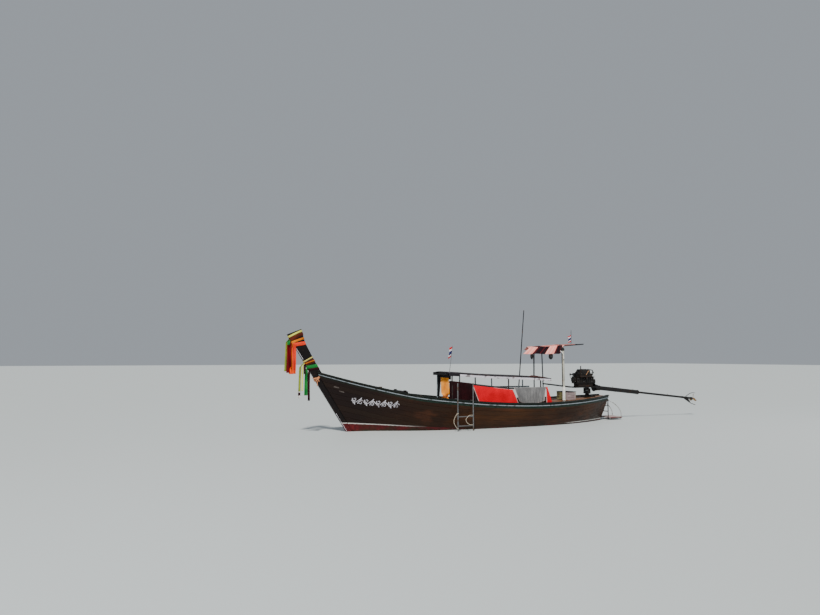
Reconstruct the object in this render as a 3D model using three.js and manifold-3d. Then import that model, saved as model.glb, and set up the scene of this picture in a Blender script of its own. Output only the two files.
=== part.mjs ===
// Longtail boat: a planked wooden hull with a tall raked prow post, a low canopy, a helmsman's
// awning and an engine on a swivel post that carries its long propeller shaft over the stern.
// Millimetres. +X points to the bow, +Y to port, +Z up. The origin is on the centreline at the
// water's surface, halfway along the waterline.

import * as THREE from 'three';
import { mergeVertices } from 'three/addons/utils/BufferGeometryUtils.js';
import Module from 'manifold-3d';

const wasm = await Module();
wasm.setup();

// Clearance that pieces keep where they touch, and where one turns against another
const SEAT = 0.3;
const RUNNING_GAP = 0.5;

// Timber sizes
const PLANK = 32;
const RIB_DEPTH = 45;
const RIB_HALF = 22;
const KEEL_HALF = 50;
const KEEL_ABOVE = 45;
const KEEL_BELOW = 65;
const DECK = 28;
const CAP = { outside: 22, inside: 72, height: 34 };
const RUB = { fromTop: 25, toTop: 70, thick: 15 };

// Hull lines, bow to stern. x is the station at the waterline and rake its forward lean per unit
// of height. keel is where the planking meets the keel, bilge the control point of the section's
// curve, and sheer the top edge of the planking.
const HULL_LINES = [
  { x: 4040, rake: 0.63, keelY: 76, keelZ: -190, bilgeY: 80, bilgeZ: 700, sheerY: 84, sheerZ: 1590 },
  { x: 3300, rake: 0.50, keelY: 52, keelZ: -330, bilgeY: 300, bilgeZ: -100, sheerY: 470, sheerZ: 1290 },
  { x: 2300, rake: 0.28, keelY: 50.3, keelZ: -355, bilgeY: 740, bilgeZ: -280, sheerY: 850, sheerZ: 980 },
  { x: 1200, rake: 0.10, keelY: 50.3, keelZ: -370, bilgeY: 950, bilgeZ: -340, sheerY: 1035, sheerZ: 815 },
  { x: 0, rake: 0, keelY: 50.3, keelZ: -375, bilgeY: 1030, bilgeZ: -345, sheerY: 1090, sheerZ: 705 },
  { x: -1400, rake: 0, keelY: 50.3, keelZ: -365, bilgeY: 1000, bilgeZ: -330, sheerY: 1060, sheerZ: 655 },
  { x: -2600, rake: -0.03, keelY: 50.3, keelZ: -330, bilgeY: 850, bilgeZ: -280, sheerY: 925, sheerZ: 675 },
  { x: -3500, rake: -0.16, keelY: 50.3, keelZ: -255, bilgeY: 560, bilgeZ: -190, sheerY: 640, sheerZ: 715 },
  { x: -4190, rake: -0.36, keelY: 50.3, keelZ: -150, bilgeY: 190, bilgeZ: -80, sheerY: 260, sheerZ: 770 },
];

// Shares of a section's length, keel to sheer, where its flats meet, and the planks between them
const KNUCKLES = [0, 0.17, 0.33, 0.48, 0.62, 0.75, 0.87, 1];
const STRAKES = [
  { name: 'bottom_strake', from: 0, to: 2 }, { name: 'bilge_strake', from: 2, to: 4 },
  { name: 'side_strake', from: 4, to: 6 }, { name: 'sheer_strake', from: 6, to: 7 },
];

// Ribs stand at an even spacing, and these stations lie between and beyond them
const RIBS = { first: -3600, spacing: 560, count: 13 };
const EXTRA_STATIONS = [4040, 3950, 3800, 3600, 3350, -2150, -3850, -4050, -4146, -4180, -4190];

// Prow post: front edge starts at the waterline and leans forward
const STEM = {
  foot: 4210, lean: 0.63, half: 50, topFront: [5850, 2610], topAft: [5480, 2755],
  neckAft: [5372, 2390], depth: 300, scarf: 3150,
};

// Decks run between these stations
const FOREDECK = { aft: 2022, fore: 3800 };
const AFTDECK = { fore: -2150, aft: -4190 };

// Floorboards and thwarts
const FLOOR = { top: -170, thick: 25, fore: 2538, aft: -2502 };
const THWART_TOP = 262;
const THWART_THICK = 32;
const THWARTS = [
  { name: 'thwart_1', x: 1160, width: 260 },
  { name: 'thwart_2', x: 600, width: 260 },
  { name: 'thwart_3', x: -520, width: 260 },
  { name: 'thwart_4', x: -1580, width: 370 },
];
const RISER = { height: 80, thick: 30, aft: -3622, fore: 3142 };

// Main canopy
const ROOF = { half: 540, thick: 14, camber: 45, fore: 1370, aft: -2070 };
const ROOF_LINE = [
  { x: 1370, z: 1545 }, { x: 900, z: 1520 }, { x: 300, z: 1475 },
  { x: -400, z: 1440 }, { x: -1200, z: 1405 }, { x: -2070, z: 1350 },
];
const ROOF_EDGE = { height: 88, thick: 18, above: 10 };
const POSTS = { y: 500, size: 28, x: [1250, 510, -600, -1720] };
const RAIL = { size: 40, start: 1330, end: 1105, thick: 44, aft: -1960 };

// Helmsman's awning
const AWNING = {
  aft: -3270, half: 620, poleY: 600, pole: 15, bar: 14, poleDrop: 29.4,
};

// The sheet's fore edge runs aslant, and its sides hang down and reach forward at their foot
const AWNING_SIDES = [
  { side: 1, fore: -1270, drop: 190, reach: 310 },
  { side: -1, fore: -1980, drop: 110, reach: 60 },
];
// Shares of the sheet's length, and how much of the sides' drop is left there
const AWNING_DROP = [[0, 1], [0.3, 1], [0.56, 0.85], [0.62, 0], [1, 0]];
const AWNING_LEGS = [
  { side: 1, top: -1435, foot: -1485, out: 500, radius: 21, onRoof: true },
  { side: -1, top: -2220, foot: -2220, out: 600, radius: 19 },
  { side: 1, top: -2400, foot: -2400, out: 715, radius: 34, bent: true },
  { side: -1, top: -2600, foot: -2640, out: 700, radius: 19, bent: true },
];
const AWNING_BEND = 2200;
const AWNING_TOP = { x: -1270, fore: 2300, aft: 2440 };
const MAST_Y = 765;

// Engine, tail and steering
const SWIVEL = { x: -3820, postRadius: 55 };
const TILT_Z = 980;
const SHAFT = { slope: 0.108, atPivot: 1065 };
const TAIL = {
  bell: -4080.6, housingEnd: -5900, propeller: -8360, hub: 90, housingRadius: 68, tubeRadius: 34,
};
const TILLER = { tip: [-2130, 1190], root: [-3237.3, 1057], radius: 17 };

const group = new THREE.Group();

// Looks of the plain model
const FINISH = {
  darkWood: [0x3a1f14, 0.55, 0], hullWood: [0x5a3018, 0.45, 0], blackPaint: [0x14120f, 0.5, 0],
  palePaint: [0xb9c4b4, 0.6, 0], deckWood: [0x8a5a34, 0.7, 0], steel: [0x8d9092, 0.4, 0.8],
  engine: [0x1b1a19, 0.5, 0.6], bronze: [0x8a6a3a, 0.4, 0.9], redCloth: [0xd3131c, 0.9, 0],
  greyCloth: [0x8b8b8b, 0.95, 0], maroonCloth: [0x3c1118, 0.9, 0], blackCloth: [0x131214, 0.95, 0],
  yellowCloth: [0xe0962e, 0.9, 0], stripeCloth: [0xe08a80, 0.9, 0], whitePaint: [0xd9d5e0, 0.5, 0],
  ribbon: [0xe0562a, 0.7, 0], crate: [0x5b4a44, 0.8, 0],
};

function add(name, geometry, finish) {
  const [color, roughness, metalness] = FINISH[finish];
  const material = new THREE.MeshStandardMaterial({ color, roughness, metalness });
  const mesh = new THREE.Mesh(geometry, material);
  mesh.name = name;
  group.add(mesh);
  return mesh;
}

// Solid modelling helpers

function bare(geometry) {
  const plain = geometry.clone();
  plain.deleteAttribute('normal');
  plain.deleteAttribute('uv');
  return mergeVertices(plain, 1e-4);
}

function solidOf(geometry) {
  const merged = bare(geometry);
  const vertProperties = new Float32Array(merged.attributes.position.array);
  const triVerts = new Uint32Array(merged.index.array);
  return new wasm.Manifold(new wasm.Mesh({ numProp: 3, vertProperties, triVerts }));
}

function geometryOf(solid) {
  const mesh = solid.getMesh();
  const geometry = new THREE.BufferGeometry();
  geometry.setAttribute('position', new THREE.BufferAttribute(mesh.vertProperties, 3));
  geometry.setIndex(new THREE.BufferAttribute(mesh.triVerts, 1));
  return geometry;
}

function join(...geometries) {
  return geometryOf(geometries.map(solidOf).reduce((sum, next) => sum.add(next)));
}

function cut(geometry, ...tools) {
  return geometryOf(tools.map(solidOf).reduce((rest, tool) => rest.subtract(tool), solidOf(geometry)));
}

function signedVolume(positions, index) {
  const a = new THREE.Vector3();
  const b = new THREE.Vector3();
  const c = new THREE.Vector3();
  let volume = 0;
  for (let i = 0; i < index.length; i += 3) {
    a.fromArray(positions, index[i] * 3);
    b.fromArray(positions, index[i + 1] * 3);
    c.fromArray(positions, index[i + 2] * 3);
    volume += a.dot(b.cross(c)) / 6;
  }
  return volume;
}

// Faces that lie on each other are split along the same diagonal: the one that starts at the
// point further out and down
function outwards([, y, z]) {
  return Math.abs(y) - z;
}

// Closed body through rings of [x, y, z] points that have the same count in the same order
function loft(rings) {
  const count = rings[0].length;
  const positions = rings.flat(2);
  const index = [];
  for (let r = 0; r < rings.length - 1; r += 1) {
    for (let k = 0; k < count; k += 1) {
      const next = (k + 1) % count;
      const a = r * count + k;
      const b = r * count + next;
      const c = (r + 1) * count + next;
      const d = (r + 1) * count + k;
      const fromA = outwards(rings[r][k]) >= outwards(rings[r][next]);
      index.push(...(fromA ? [a, b, c, a, c, d] : [a, b, d, b, c, d]));
    }
  }
  const last = (rings.length - 1) * count;
  for (const [start, flip] of [[0, true], [last, false]]) {
    const ring = rings[start === 0 ? 0 : rings.length - 1];
    for (const [i, j, k] of capTriangles(ring)) {
      index.push(...(flip ? [start + i, start + k, start + j] : [start + i, start + j, start + k]));
    }
  }
  if (signedVolume(positions, index) < 0) {
    for (let i = 0; i < index.length; i += 3) {
      [index[i + 1], index[i + 2]] = [index[i + 2], index[i + 1]];
    }
  }
  const geometry = new THREE.BufferGeometry();
  geometry.setAttribute('position', new THREE.Float32BufferAttribute(positions, 3));
  geometry.setIndex(index);
  return geometry;
}

// Triangles that fill a nearly flat ring, in the ring's own direction
function capTriangles(ring) {
  const normal = new THREE.Vector3();
  for (let i = 0; i < ring.length; i += 1) {
    const p = ring[i];
    const q = ring[(i + 1) % ring.length];
    normal.x += (p[1] - q[1]) * (p[2] + q[2]);
    normal.y += (p[2] - q[2]) * (p[0] + q[0]);
    normal.z += (p[0] - q[0]) * (p[1] + q[1]);
  }
  normal.normalize();
  const u = new THREE.Vector3(Math.abs(normal.x) > 0.9 ? 0 : 1, Math.abs(normal.x) > 0.9 ? 1 : 0, 0);
  u.cross(normal).normalize();
  const v = normal.clone().cross(u);
  const flat = ring.map((p) => {
    const point = new THREE.Vector3(...p);
    return new THREE.Vector2(point.dot(u), point.dot(v));
  });
  return THREE.ShapeUtils.triangulateShape(flat, []);
}

function block(x0, x1, y0, y1, z0, z1) {
  const geometry = new THREE.BoxGeometry(x1 - x0, y1 - y0, z1 - z0);
  return geometry.translate((x0 + x1) / 2, (y0 + y1) / 2, (z0 + z1) / 2);
}

// Outline in the x-z plane, as thick as y0 to y1
function plate(outline, y0, y1) {
  return loft([outline.map(([x, z]) => [x, y0, z]), outline.map(([x, z]) => [x, y1, z])]);
}

// Round bar from one point to another
function rod(from, to, radius, sides = 10, endRadius = radius) {
  const a = new THREE.Vector3(...from);
  const b = new THREE.Vector3(...to);
  const geometry = new THREE.CylinderGeometry(endRadius, radius, a.distanceTo(b), sides);
  const turn = new THREE.Quaternion().setFromUnitVectors(
    new THREE.Vector3(0, 1, 0), b.clone().sub(a).normalize());
  geometry.applyQuaternion(turn);
  return geometry.translate(...a.add(b).multiplyScalar(0.5));
}

// Tube along a smooth curve through points
function bentTube(points, radius, steps, sides = 8) {
  const outline = new THREE.Shape();
  outline.absarc(0, 0, radius, 0, Math.PI * 2);
  const path = new THREE.CatmullRomCurve3(points.map((p) => new THREE.Vector3(...p)), false, 'centripetal');
  const options = { extrudePath: path, steps, curveSegments: sides / 2, bevelEnabled: false };
  return new THREE.ExtrudeGeometry(outline, options);
}

// Hull surface

// Smooth value of a column between rows, with slopes from the neighbouring rows
function smooth(rows, column, x) {
  const last = rows.length - 1;
  let i = 0;
  while (i < last - 1 && x < rows[i + 1].x) {
    i += 1;
  }
  const slope = (k) => {
    const a = rows[Math.max(k - 1, 0)];
    const b = rows[Math.min(k + 1, last)];
    return (b[column] - a[column]) / (b.x - a.x);
  };
  const p = rows[i];
  const q = rows[i + 1];
  const h = q.x - p.x;
  const t = (x - p.x) / h;
  const t2 = t * t;
  const t3 = t2 * t;
  return (2 * t3 - 3 * t2 + 1) * p[column] + (t3 - 2 * t2 + t) * h * slope(i)
    + (3 * t2 - 2 * t3) * q[column] + (t3 - t2) * h * slope(i + 1);
}

function station(x) {
  const columns = ['rake', 'keelY', 'keelZ', 'bilgeY', 'bilgeZ', 'sheerY', 'sheerZ'];
  const s = { x };
  for (const column of columns) {
    s[column] = smooth(HULL_LINES, column, x);
  }
  s.keelY = Math.max(s.keelY, KEEL_HALF + SEAT);
  s.curve = new THREE.QuadraticBezierCurve(
    new THREE.Vector2(s.keelY, s.keelZ), new THREE.Vector2(s.bilgeY, s.bilgeZ),
    new THREE.Vector2(s.sheerY, s.sheerZ));
  s.curve.arcLengthDivisions = 60;
  s.length = s.curve.getLength();
  return s;
}

// Point of a section at a share of its length, moved inwards by an offset: [y, z]
function onSection(s, share, offset) {
  const point = s.curve.getPointAt(share);
  const along = s.curve.getTangentAt(share);
  let y = point.x - along.y * offset;
  let z = point.y + along.x * offset;
  if (share === 0) {
    y = s.keelY;
  }
  if (share === 1) {
    y = point.x - offset / along.y;
    z = point.y;
  }
  return [Math.max(y, KEEL_HALF + SEAT), z];
}

function place(s, [y, z], side) {
  return [s.x + s.rake * z, side * y, z];
}

// Where the planking's inner side, moved inwards by an offset, crosses a height
function breadthAt(s, offset, z) {
  const corners = KNUCKLES.map((share) => onSection(s, share, offset));
  for (let i = 0; i < corners.length - 1; i += 1) {
    const [y0, z0] = corners[i];
    const [y1, z1] = corners[i + 1];
    if (z >= z0 && z <= z1 + 0.01) {
      return y0 + (y1 - y0) * (z - z0) / (z1 - z0);
    }
  }
  return corners[0][0];
}

const ribStations = Array.from({ length: RIBS.count }, (_, i) => RIBS.first + i * RIBS.spacing);
const gridX = [...EXTRA_STATIONS, ...ribStations.flatMap((x) => [x - RIB_HALF, x + RIB_HALF])]
  .sort((a, b) => b - a);
const grid = gridX.map(station);
const between = (fore, aft) => grid.filter((s) => s.x <= fore && s.x >= aft);

// Outer face of the top plank at a distance below its edge, moved outwards: [y, z]
function belowSheer(s, distance, outwards) {
  const [y0, z0] = onSection(s, KNUCKLES[6] + SEAT / 2 / s.length, 0);
  const [y1, z1] = onSection(s, 1, 0);
  const length = Math.hypot(y1 - y0, z1 - z0);
  const uy = (y1 - y0) / length;
  const uz = (z1 - z0) / length;
  return [y1 - uy * distance + uz * outwards, z1 - uz * distance - uy * outwards];
}

function strake({ from, to }, side) {
  const top = to === KNUCKLES.length - 1;
  const rings = grid.map((s) => {
    const inset = SEAT / 2 / s.length;
    const shares = KNUCKLES.slice(from, to + 1);
    shares[0] += from === 0 ? 0 : inset;
    shares[shares.length - 1] -= top ? 0 : inset;
    const outer = shares.map((share) => onSection(s, share, 0));
    if (top) {
      outer.splice(1, 0, belowSheer(s, RUB.toTop, 0), belowSheer(s, RUB.fromTop, 0));
    }
    const inner = shares.map((share) => onSection(s, share, PLANK)).reverse();
    return [...outer, ...inner].map((p) => place(s, p, side));
  });
  return loft(rings);
}

function rubRail(side) {
  const rings = grid.map((s) => [
    belowSheer(s, RUB.toTop, SEAT), belowSheer(s, RUB.fromTop, SEAT),
    belowSheer(s, RUB.fromTop, RUB.thick), belowSheer(s, RUB.toTop, RUB.thick),
  ].map((p) => place(s, p, side)));
  return loft(rings);
}

function gunwaleCap(side) {
  const rings = grid.map((s) => {
    const inside = Math.max(s.sheerY - CAP.inside, KEEL_HALF + SEAT);
    const low = s.sheerZ + SEAT;
    const high = s.sheerZ + CAP.height;
    const outside = s.sheerY + CAP.outside;
    const x = s.x + s.rake * s.sheerZ;
    return [[outside, low], [outside, high], [inside, high], [inside, low]]
      .map(([y, z]) => [x, side * y, z]);
  });
  return loft(rings);
}

// Deck panel between two stations, level across. A grown one is the tool that clears the ribs.
function deck(fore, aft, grown = 0) {
  const margin = grown > 0 ? -PLANK / 2 : 3;
  const rings = between(fore, aft).map((s) => {
    const low = s.sheerZ - DECK - grown;
    const high = s.sheerZ + (grown > 0 ? DECK : 0);
    const lowHalf = breadthAt(s, PLANK, s.sheerZ - DECK) - margin;
    const highHalf = breadthAt(s, PLANK, s.sheerZ) - margin;
    return [[-lowHalf, low], [lowHalf, low], [highHalf, high], [-highHalf, high]]
      .map((p) => place(s, p, 1));
  });
  return loft(rings);
}

function rib(x, side) {
  const pair = [station(x + RIB_HALF), station(x - RIB_HALF)];
  const rings = pair.map((s) => {
    const outer = KNUCKLES.map((share) => onSection(s, share, PLANK + SEAT)).reverse();
    const inner = KNUCKLES.map((share) => onSection(s, share, PLANK + RIB_DEPTH));
    inner[0] = [KEEL_HALF + SEAT, inner[0][1]];
    return [...outer, ...inner].map((p) => place(s, p, side));
  });
  return loft(rings);
}

// Stringer inside the ribs that carries the thwarts
function riser(side) {
  const top = THWART_TOP - THWART_THICK - SEAT;
  const rings = between(RISER.fore, RISER.aft).map((s) => {
    const outer = PLANK + RIB_DEPTH - 8;
    const low = breadthAt(s, outer, top - RISER.height);
    const high = breadthAt(s, outer, top);
    return [[low, top - RISER.height], [high, top], [high - RISER.thick, top],
      [low - RISER.thick, top - RISER.height]].map((p) => place(s, p, side));
  });
  return loft(rings);
}

function ribs(side) {
  const pieces = ribStations.map((x) => rib(x, side));
  const frame = join(...pieces, riser(side));
  const tools = [deck(FOREDECK.fore, FOREDECK.aft - 44, SEAT), deck(AFTDECK.fore, AFTDECK.aft, SEAT)];
  return cut(frame, ...tools);
}

// Keel timber under the planking
function keel() {
  const stations = between(3350, -4190).filter((s) => s.x + s.rake * s.keelZ < STEM.scarf - 40);
  const top = stations.map((s) => [s.x + s.rake * s.keelZ, s.keelZ + KEEL_ABOVE]);
  const bottom = stations.map((s) => [s.x + s.rake * s.keelZ, s.keelZ - KEEL_BELOW]).reverse();
  const fore = STEM.scarf - SEAT;
  return plate([[fore, top[0][1]], ...top, ...bottom, [fore, bottom[bottom.length - 1][1]]],
    -KEEL_HALF, KEEL_HALF);
}

// Prow post: forefoot curve, straight raked timber and the cut top
function stem() {
  const scarfZ = [station(3300).keelZ - KEEL_BELOW, station(3300).keelZ + KEEL_ABOVE];
  const frontAt = (z) => [STEM.foot + STEM.lean * z, z];
  const aftAt = (z) => [STEM.foot - STEM.depth + STEM.lean * z, z];
  const corner = [STEM.foot + STEM.lean * scarfZ[0], scarfZ[0]];
  const forefoot = new THREE.QuadraticBezierCurve(
    new THREE.Vector2(STEM.scarf, scarfZ[0]), new THREE.Vector2(...corner),
    new THREE.Vector2(...frontAt(-40)));
  const heel = new THREE.QuadraticBezierCurve(
    new THREE.Vector2(...aftAt(60)), new THREE.Vector2(3720, scarfZ[1]),
    new THREE.Vector2(STEM.scarf, scarfZ[1]));
  const outline = [
    ...forefoot.getPoints(7).map((p) => p.toArray()), frontAt(1200), STEM.topFront, STEM.topAft,
    STEM.neckAft, aftAt(1900), aftAt(1200), ...heel.getPoints(6).map((p) => p.toArray()),
  ];
  return plate(outline, -STEM.half, STEM.half);
}

function transom() {
  const pair = [station(-4146), station(-4180)];
  const rings = pair.map((s) => {
    const top = s.sheerZ - DECK - SEAT;
    const port = KNUCKLES.slice(1, 7).map((share) => onSection(s, share, PLANK + SEAT));
    const keep = port.filter(([, z]) => z < top - 5);
    keep.push([breadthAt(s, PLANK + SEAT, top), top]);
    const starboard = keep.map(([y, z]) => [-y, z]).reverse();
    return [...keep, ...starboard].map((p) => place(s, p, 1));
  });
  return loft(rings);
}

function floorboards() {
  const low = FLOOR.top - FLOOR.thick;
  const rings = between(FLOOR.fore, FLOOR.aft).map((s) => {
    const half = breadthAt(s, PLANK + RIB_DEPTH, low) - 3;
    return [[-half, low], [half, low], [half, FLOOR.top], [-half, FLOOR.top]]
      .map((p) => place(s, p, 1));
  });
  return loft(rings);
}

function thwart({ x, width }) {
  const ends = [station(x + width / 2), station(x - width / 2)];
  const low = THWART_TOP - THWART_THICK;
  const half = Math.min(...ends.map((s) => breadthAt(s, PLANK, low))) - 8;
  const mid = x + ends[0].rake * THWART_TOP;
  return block(mid - width / 2, mid + width / 2, -half, half, low, THWART_TOP);
}

for (const [word, side] of [['port', 1], ['starboard', -1]]) {
  STRAKES.forEach((row) => add(`${row.name}_${word}`, strake(row, side), 'hullWood'));
  add(`rub_rail_${word}`, rubRail(side), 'palePaint');
  add(`gunwale_cap_${word}`, gunwaleCap(side), 'blackPaint');
  add(`ribs_${word}`, ribs(side), 'darkWood');
}
add('keel', keel(), 'darkWood');
add('prow_post', stem(), 'blackPaint');
add('transom', transom(), 'darkWood');
add('floorboards', floorboards(), 'deckWood');
add('foredeck', deck(FOREDECK.fore, FOREDECK.aft), 'darkWood');
add('aft_deck', deck(AFTDECK.fore, AFTDECK.aft), 'deckWood');
THWARTS.forEach((row) => add(row.name, thwart(row), 'deckWood'));

// Top of the gunwale caps at a place along the boat, and the caps' edges there
function sheerAt(x) {
  const near = (s) => s.x + s.rake * s.sheerZ;
  const i = Math.max(1, grid.findIndex((s) => near(s) < x));
  const a = grid[i - 1];
  const b = grid[i];
  const t = (x - near(a)) / (near(b) - near(a));
  return { y: a.sheerY + (b.sheerY - a.sheerY) * t, z: a.sheerZ + (b.sheerZ - a.sheerZ) * t };
}

function deckTop(fore, aft) {
  return Math.max(sheerAt(fore).z, sheerAt(aft).z) + SEAT;
}

// Bitt beam across the foredeck with two mooring posts
function bittBeam() {
  const x = 2640;
  const low = deckTop(x - 60, x + 60);
  const beam = block(x - 60, x + 60, -460, 460, low, low + 60);
  const posts = [380, -380].map((y) => block(x - 35, x + 35, y - 35, y + 35, low + 10, low + 85));
  return join(beam, ...posts);
}

function bowBitt() {
  const x = 3230;
  const z = deckTop(x - 40, x + 40);
  const half = 110;
  const post = block(x - 40, x + 40, -40, 40, z, z + 60);
  return join(post, rod([x, -half, z + 38], [x, half, z + 38], 18));
}

add('bitt_beam', bittBeam(), 'blackPaint');
add('bow_bitt', bowBitt(), 'darkWood');

// Canopy

function roofZ(x) {
  return smooth(ROOF_LINE, 'z', x);
}

// The roof panel is flat between folds at these stations and shares of its half breadth
const ROOF_X = Array.from({ length: 9 }, (_, i) => ROOF.fore + (ROOF.aft - ROOF.fore) * i / 8);
const ROOF_ACROSS = [-1, -0.6, -0.2, 0.2, 0.6, 1];
const camberAt = (share) => ROOF.camber * (1 - share * share);

function straightBetween(places, values, at) {
  const rising = places[places.length - 1] > places[0] ? 1 : -1;
  const next = places.findIndex((place, k) => k > 0 && (place - at) * rising >= 0);
  const i = next < 0 ? places.length - 1 : next;
  const t = (at - places[i - 1]) / (places[i] - places[i - 1]);
  return values[i - 1] + (values[i] - values[i - 1]) * t;
}

function roofUnder(x, y) {
  return straightBetween(ROOF_X, ROOF_X.map(roofZ), x)
    + straightBetween(ROOF_ACROSS, ROOF_ACROSS.map(camberAt), y / ROOF.half);
}

function roof() {
  const rings = ROOF_X.map((x) => {
    const bottom = ROOF_ACROSS.map((k) => [x, k * ROOF.half, roofZ(x) + camberAt(k)]);
    const top = bottom.map(([, y, z]) => [x, y, z + ROOF.thick]);
    return [...top, ...bottom.reverse()];
  });
  return loft(rings);
}

function roofEdge(side) {
  const y0 = side * (ROOF.half + SEAT);
  const y1 = side * (ROOF.half + ROOF_EDGE.thick);
  const rings = ROOF_X.map((x) => {
    const top = roofZ(x) + ROOF.thick + ROOF_EDGE.above;
    const low = top - ROOF_EDGE.height;
    return [[x, y0, low], [x, y1, low], [x, y1, top], [x, y0, top]];
  });
  return loft(rings);
}

function railZ(x) {
  const t = (POSTS.x[0] - x) / (POSTS.x[0] - POSTS.x[3]);
  return RAIL.start + (RAIL.end - RAIL.start) * Math.min(1, t * 1.55);
}

// Four posts on the thwarts, a roof beam, and the rail that carries the hung cloths
function canopySide(side) {
  const y = side * POSTS.y;
  const half = POSTS.size / 2;
  const posts = POSTS.x.map((x) => block(x - half, x + half, y - half, y + half,
    THWART_TOP + SEAT, roofZ(x) - 20));
  const beam = (topZ, size, stations) => loft(stations.map((x) => {
    const [z0, z1] = [topZ(x, y - half), topZ(x, y + half)];
    return [[x, y - half, z0 - size], [x, y + half, z1 - size], [x, y + half, z1], [x, y - half, z0]];
  }));
  const underRoof = [ROOF.fore - 30, ...ROOF_X.slice(1, -1), ROOF.aft + 30];
  const top = beam((x, at) => roofUnder(x, at) - SEAT, RAIL.size, underRoof);
  const rail = beam(railZ, RAIL.thick, [POSTS.x[0] + half, ...POSTS.x.slice(1), RAIL.aft]);
  return join(top, rail, ...posts);
}

// Both sides, joined by a crossbeam at each pair of posts
function canopyFrame() {
  const half = POSTS.size / 2;
  const beams = POSTS.x.map((x) => block(
    x - half, x + half, -POSTS.y, POSTS.y, roofZ(x) - 40, roofZ(x) - 6));
  return join(canopySide(1), canopySide(-1), ...beams);
}

add('canopy_roof', roof(), 'blackPaint');
for (const [word, side] of [['port', 1], ['starboard', -1]]) {
  add(`canopy_edge_${word}`, roofEdge(side), 'whitePaint');
}
add('canopy_frame', canopyFrame(), 'darkWood');

// Cloths hung on the port rail and at the canopy's front, as plain slabs
const CLOTH = 14;

// Sheet hung outside the rail: where its top edge and its foot start and end along the boat
function hungCloth({ top, foot, footZ }) {
  const y0 = POSTS.y + POSTS.size / 2 + SEAT;
  const above = 4;
  const outline = [
    [top[0], railZ(top[0]) + above], [top[1], railZ(top[1]) + above], [foot[1], footZ],
    [foot[0], footZ],
  ];
  return plate(outline, y0, y0 + CLOTH);
}

const HUNG = [
  { name: 'maroon_side_curtain', finish: 'maroonCloth', top: [1225, 655], foot: [1225, 480], footZ: 770 },
  { name: 'red_cloth', finish: 'redCloth', top: [615, -750], foot: [390, -925], footZ: 650 },
  { name: 'grey_cloth', finish: 'greyCloth', top: [-775, -1880], foot: [-950, -1820], footZ: 635 },
  { name: 'small_red_cloth', finish: 'redCloth', top: [-1895, -1945], foot: [-1895, -2105], footZ: 640 },
];
HUNG.forEach((row) => add(row.name, hungCloth(row), row.finish));

// Dark curtain and tied yellow cloth in the canopy's front opening, and the rolled tarp before them
const FRONT_X = POSTS.x[0] + POSTS.size / 2 + SEAT;
add('front_curtain', block(FRONT_X, FRONT_X + 18, -430, -225, 860, 1510), 'blackCloth');
add('yellow_cloth', block(FRONT_X, FRONT_X + 46, -210, 370, 820, 1510), 'yellowCloth');

function rolledTarp() {
  const radius = 34;
  const x = ROOF.fore - 20;
  const half = 470;
  const z = roofUnder(x, half) - SEAT - radius;
  return rod([x, -half, z], [x, half, z], radius, 12);
}

add('rolled_tarp', rolledTarp(), 'blackCloth');

// Flag staffs, mast and flags. A leaning staff's foot clears what it stands on at its low side.
const STAFF = { radius: 9, taper: 0.7, sides: 8 };

function staff(foot, top, radius) {
  return rod(foot, top, radius, STAFF.sides, radius * STAFF.taper);
}

// Aft side of a staff at a height, where a flag's hoist edge is tied
function hoist(foot, top, z) {
  const t = (z - foot[2]) / (top[2] - foot[2]);
  const radius = STAFF.radius * (1 + (STAFF.taper - 1) * t);
  return [foot[0] + (top[0] - foot[0]) * t - radius - SEAT, z];
}

// Flag between two heights of its staff, with the two corners of its fly
function flag(foot, top, [high, low], fly) {
  const halfThick = 4;
  const outline = [hoist(foot, top, high), ...fly, hoist(foot, top, low)];
  return plate(outline, foot[1] - halfThick, foot[1] + halfThick);
}

const FORE_STAFF = {
  foot: [1335, 500, roofUnder(1335, 500) + ROOF.thick + 1.7], top: [1230, 500, 2330],
};
add('fore_flag_staff', staff(FORE_STAFF.foot, FORE_STAFF.top, STAFF.radius), 'steel');
add('fore_flag', flag(FORE_STAFF.foot, FORE_STAFF.top, [2290, 2010], [[1160, 2230], [1180, 1980]]),
  'redCloth');

function mast() {
  return staff([-1670, -MAST_Y, THWART_TOP + SEAT + 2.1], [-1980, -MAST_Y, 3535], 20);
}

add('mast', mast(), 'darkWood');

// Boarding ladder over the port side
const LADDER = { x: [920, 1390], y: 1135, top: 1300, foot: -420, tube: 16, rungs: [-360, -110, 140, 390] };

function sideLadder() {
  const [aft, fore] = LADDER.x;
  const { y, foot, top, tube } = LADDER;
  const rails = [aft, fore].map((x) => rod([x, y, foot], [x, y, top], tube));
  const rungs = LADDER.rungs.map((z) => rod([aft, y, z], [fore, y, z], 12, 8));
  const hooks = [aft, fore].map((x) => {
    const cap = sheerAt(x);
    const seatZ = Math.max(sheerAt(x - 20).z, sheerAt(x + 20).z) + CAP.height + SEAT;
    return block(x - 18, x + 18, cap.y - 60, y, seatZ, seatZ + 12);
  });
  return join(...rails, ...rungs, ...hooks);
}

add('boarding_ladder', sideLadder(), 'steel');

// Swim platform at the stern: pads on the plank ends, two bent tubes and a board above the water
const PLATFORM = { y: 210, upright: -4470, fore: -4285, aft: -4995, z: 46, tube: 15, rungs: [270, 450] };
const PLATFORM_BOARD = { fore: -4500, aft: -4980, half: 270, thick: 30 };
const PAD = { low: 600, high: 660, inside: 200, outside: 245 };

// The planking ends in a plane that leans aft
function plankEnd(z) {
  const { x, rake } = HULL_LINES[HULL_LINES.length - 1];
  return x + rake * z - SEAT * Math.hypot(1, rake);
}

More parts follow.
